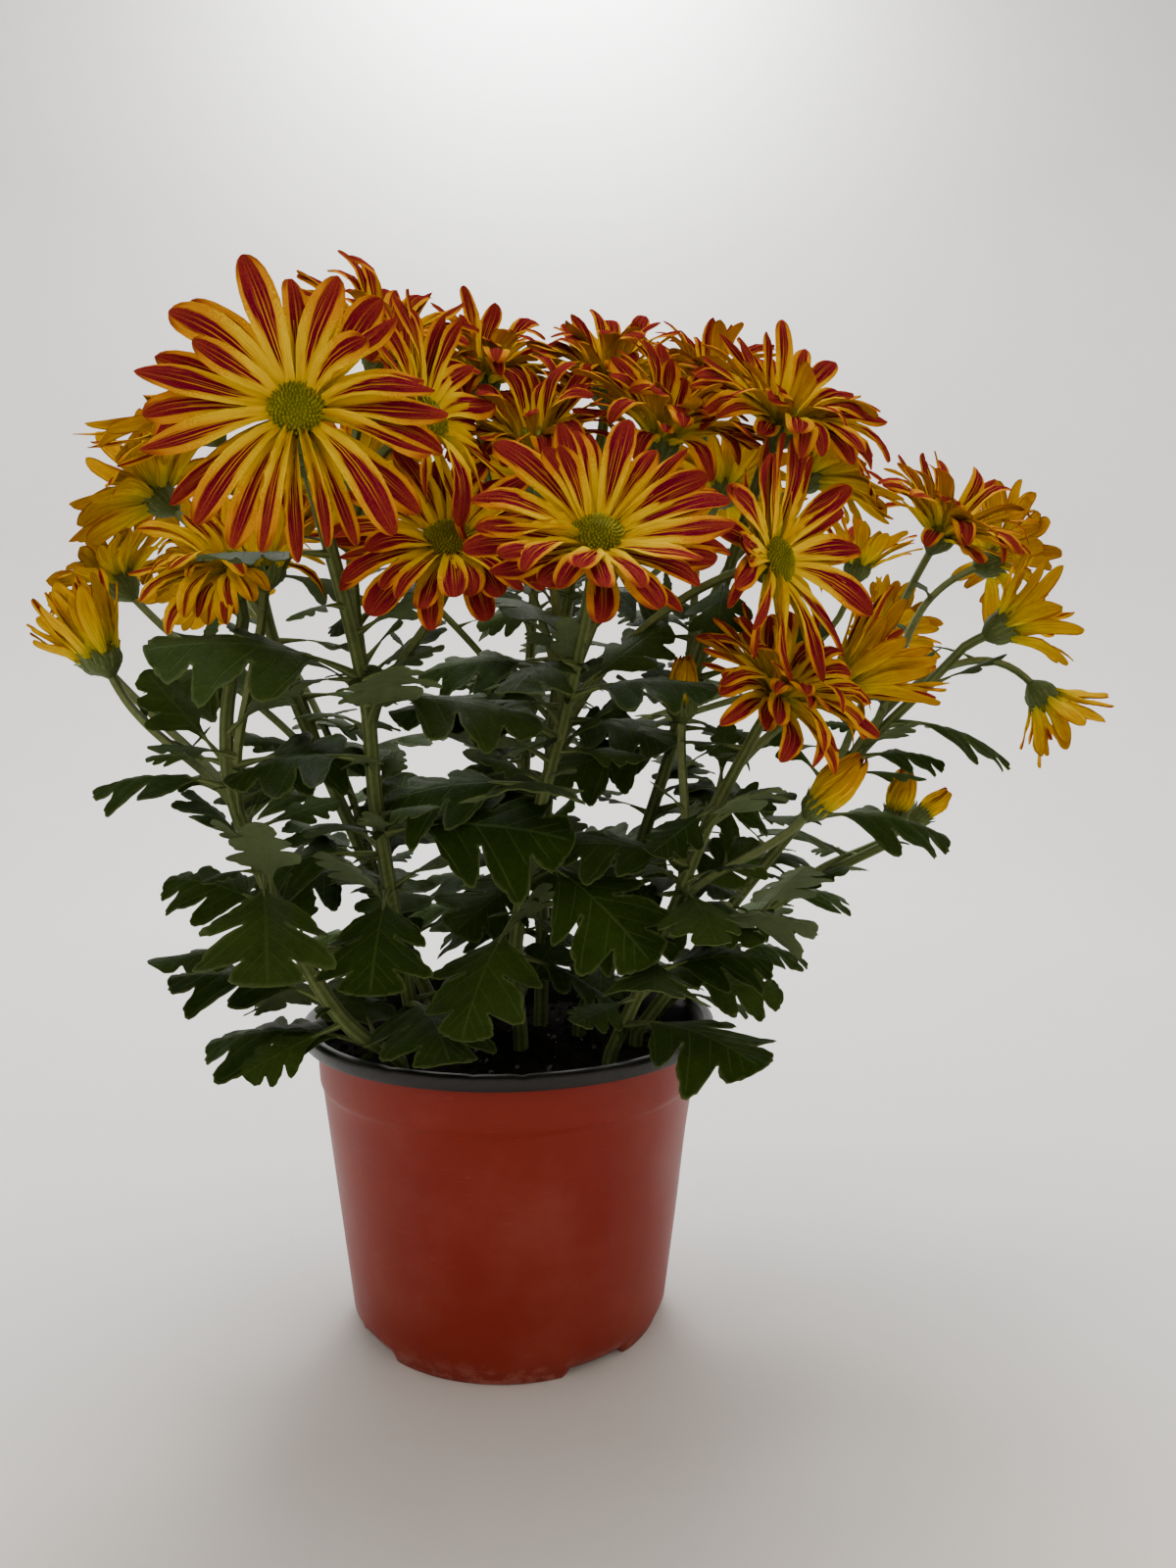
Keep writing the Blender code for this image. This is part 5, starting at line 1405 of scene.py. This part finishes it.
def makeSoil():
    # a plug with a rough crown, and crumbs that lie on it
    rng = random.Random(4)
    rim, rings = innerRadius(97) - 0.1, soilLook["rings"]
    profile = [(0, 4.9), (52, 4.9), (innerRadius(8) - 0.4, 8), (innerRadius(50) - 0.3, 50), (rim, 96.5)]
    profile += [(rim * (1 - k / rings), 97) for k in range(1, rings + 1)]
    soil = spinProfile("soil_plug", profile, soilLook["steps"])
    for vertex in soil.data.vertices:
        place = vertex.co
        if place.z > 96.8 * mm:
            place.z = soilHeight(place.x, place.y, rim * mm) + rng.uniform(-1, 1) * soilLook["rough"]
            if math.hypot(place.x, place.y) > 1 * mm:
                place.x += rng.uniform(-0.35, 0.35) * mm
                place.y += rng.uniform(-0.35, 0.35) * mm
    soil.data.materials.append(soilMaterial)
    dress(soil, ["potting_mix"])
    bpy.ops.object.select_all(action="DESELECT")
    bpy.ops.mesh.primitive_ico_sphere_add(subdivisions=1, radius=1)
    crumb = bpy.context.object
    faces = [tuple(p.vertices) for p in crumb.data.polygons]
    form = finishForm({"faces": faces}, [(0.5, 0.5)] * (3 * len(faces)))
    ball = np.array([v.co for v in crumb.data.vertices])
    bpy.data.objects.remove(crumb)
    heap = newHeap()
    for _ in range(soilLook["crumbs"]):
        bearing, reach = rng.uniform(0, math.tau), rim * mm * math.sqrt(rng.random()) * 0.985
        x, y = reach * math.cos(bearing), reach * math.sin(bearing)
        size = rng.uniform(*soilLook["crumbSize"]) * mm * rng.random() ** 0.5
        stretch = np.array([rng.uniform(0.6, 1.4), rng.uniform(0.6, 1.2), rng.uniform(0.35, 0.8)]) * size
        axis = (rng.uniform(-1, 1), rng.uniform(-1, 1), 1)
        turn = np.array(Quaternion(axis, rng.uniform(0, 6)).to_matrix())
        place = np.array([x, y, soilHeight(x, y, rim * mm) + size * 0.25])
        pour(heap, form, place + (ball * stretch * rng.uniform(0.8, 1.2)) @ turn.T, rng.random(),
             float(rng.random() < soilLook["paleShare"]))
    pieceFromHeap("soil_crumbs", heap, [soilMaterial], ["potting_mix"], 30)


# Studio: a pale bowl of paper, soft light from above, and the camera where the photograph was taken

studio = {
    "floorRadius": 900, "bend": 500, "wallRadius": 1700, "wallHeight": 2300,
    "world": (0.95, 0.97, 1.0), "worldStrength": 0.22,
    "lights": (("overhead", (0.0, 0.45, 1.45), (0, 0, 0.15), 1.1, 27.5),
               ("backdrop", (0.05, 1.40, 1.68), (0.05, 1.72, 1.12), 0.60, 31.5)),
}
view = {
    "place": (0.0, -0.4135, 0.2214), "down": 3.74, "right": 4.02,
    "focalPixels": 1155, "heightPixels": 1600, "sensor": 36,
}


def aim(thing, place, ahead):
    thing.location = place
    thing.rotation_euler = ahead.to_track_quat("-Z", "Y").to_euler()


def makeStudio():
    bend, edge = studio["bend"], studio["wallRadius"] - studio["bend"]
    profile = [(0, -0.05), (studio["floorRadius"], -0.05)]
    profile += [(edge + bend * math.sin(turn), bend * (1 - math.cos(turn)) - 0.05)
                for turn in (math.pi / 2 * k / 16 for k in range(17))]
    profile += [(studio["wallRadius"], studio["wallHeight"])]
    paper = spinProfile("studio_paper", profile, 96)
    if sum(face.normal.z for face in paper.data.polygons) < 0:
        paper.data.flip_normals()
    paper.data.materials.append(floorMaterial)
    world = bpy.data.worlds.new("soft daylight")
    bpy.context.scene.world = world
    world.use_nodes = True
    sky = world.node_tree.nodes["Background"]
    sky.inputs["Color"].default_value = (*studio["world"], 1)
    sky.inputs["Strength"].default_value = studio["worldStrength"]
    for name, place, target, size, energy in studio["lights"]:
        lamp = bpy.data.lights.new(name, "AREA")
        lamp.size = size
        lamp.energy = energy
        aim(addObject(name, lamp), place, Vector(target) - Vector(place))


def makeCamera():
    down, right = math.radians(view["down"]), math.radians(view["right"])
    ahead = Vector((math.sin(right) * math.cos(down), math.cos(right) * math.cos(down), -math.sin(down)))
    lens = bpy.data.cameras.new("camera")
    lens.sensor_fit = "VERTICAL"
    lens.sensor_height = view["sensor"]
    lens.lens = view["focalPixels"] / view["heightPixels"] * view["sensor"]
    lens.clip_start = 0.01
    camera = addObject("camera", lens)
    aim(camera, view["place"], ahead)
    bpy.context.scene.camera = camera


def buildPlant():
    grid = leafLook["grid"]
    forms = {
        "hub": tubeForm(24, 9), "floret": tubeForm(6, 2), "stem": tubeForm(12, 46), "stalk": tubeForm(10, 22),
        "petiole": tubeForm(8, 6), "bud": tubeForm(24, 12), "bract": bractForm(), "petal": petalForm(),
        "big": leafForm(bigOutline, grid, True), "broad": leafForm(bigOutline, grid * 1.7, True),
        "wedge": leafForm(wedgeOutline, grid * 1.7, False),
        "medium": leafForm(mediumOutline, grid * 1.7, False),
        "narrow": leafForm(narrowOutline, grid * 2.2, False),
    }
    print("Forms modelled:", {name: len(form["faces"]) for name, form in forms.items()})
    placed = []
    for shoot in shoots:
        makeShoot(shoot, forms, placed)
    print("Shoots grown, leaves:", len(placed))
    for bloom in blooms:
        bloomPetals(bloom, forms["petal"])
        bloomCentre(bloom, forms["hub"], forms["floret"])
    print("Blooms opened:", len(blooms), counts)
    for bud in buds:
        furledBud(bud, forms["bud"], forms["petal"])
    print("Buds furled:", len(buds))


makeStudio()
makeCamera()
makePot()
makeSoil()
print("Pot filled")
buildPlant()
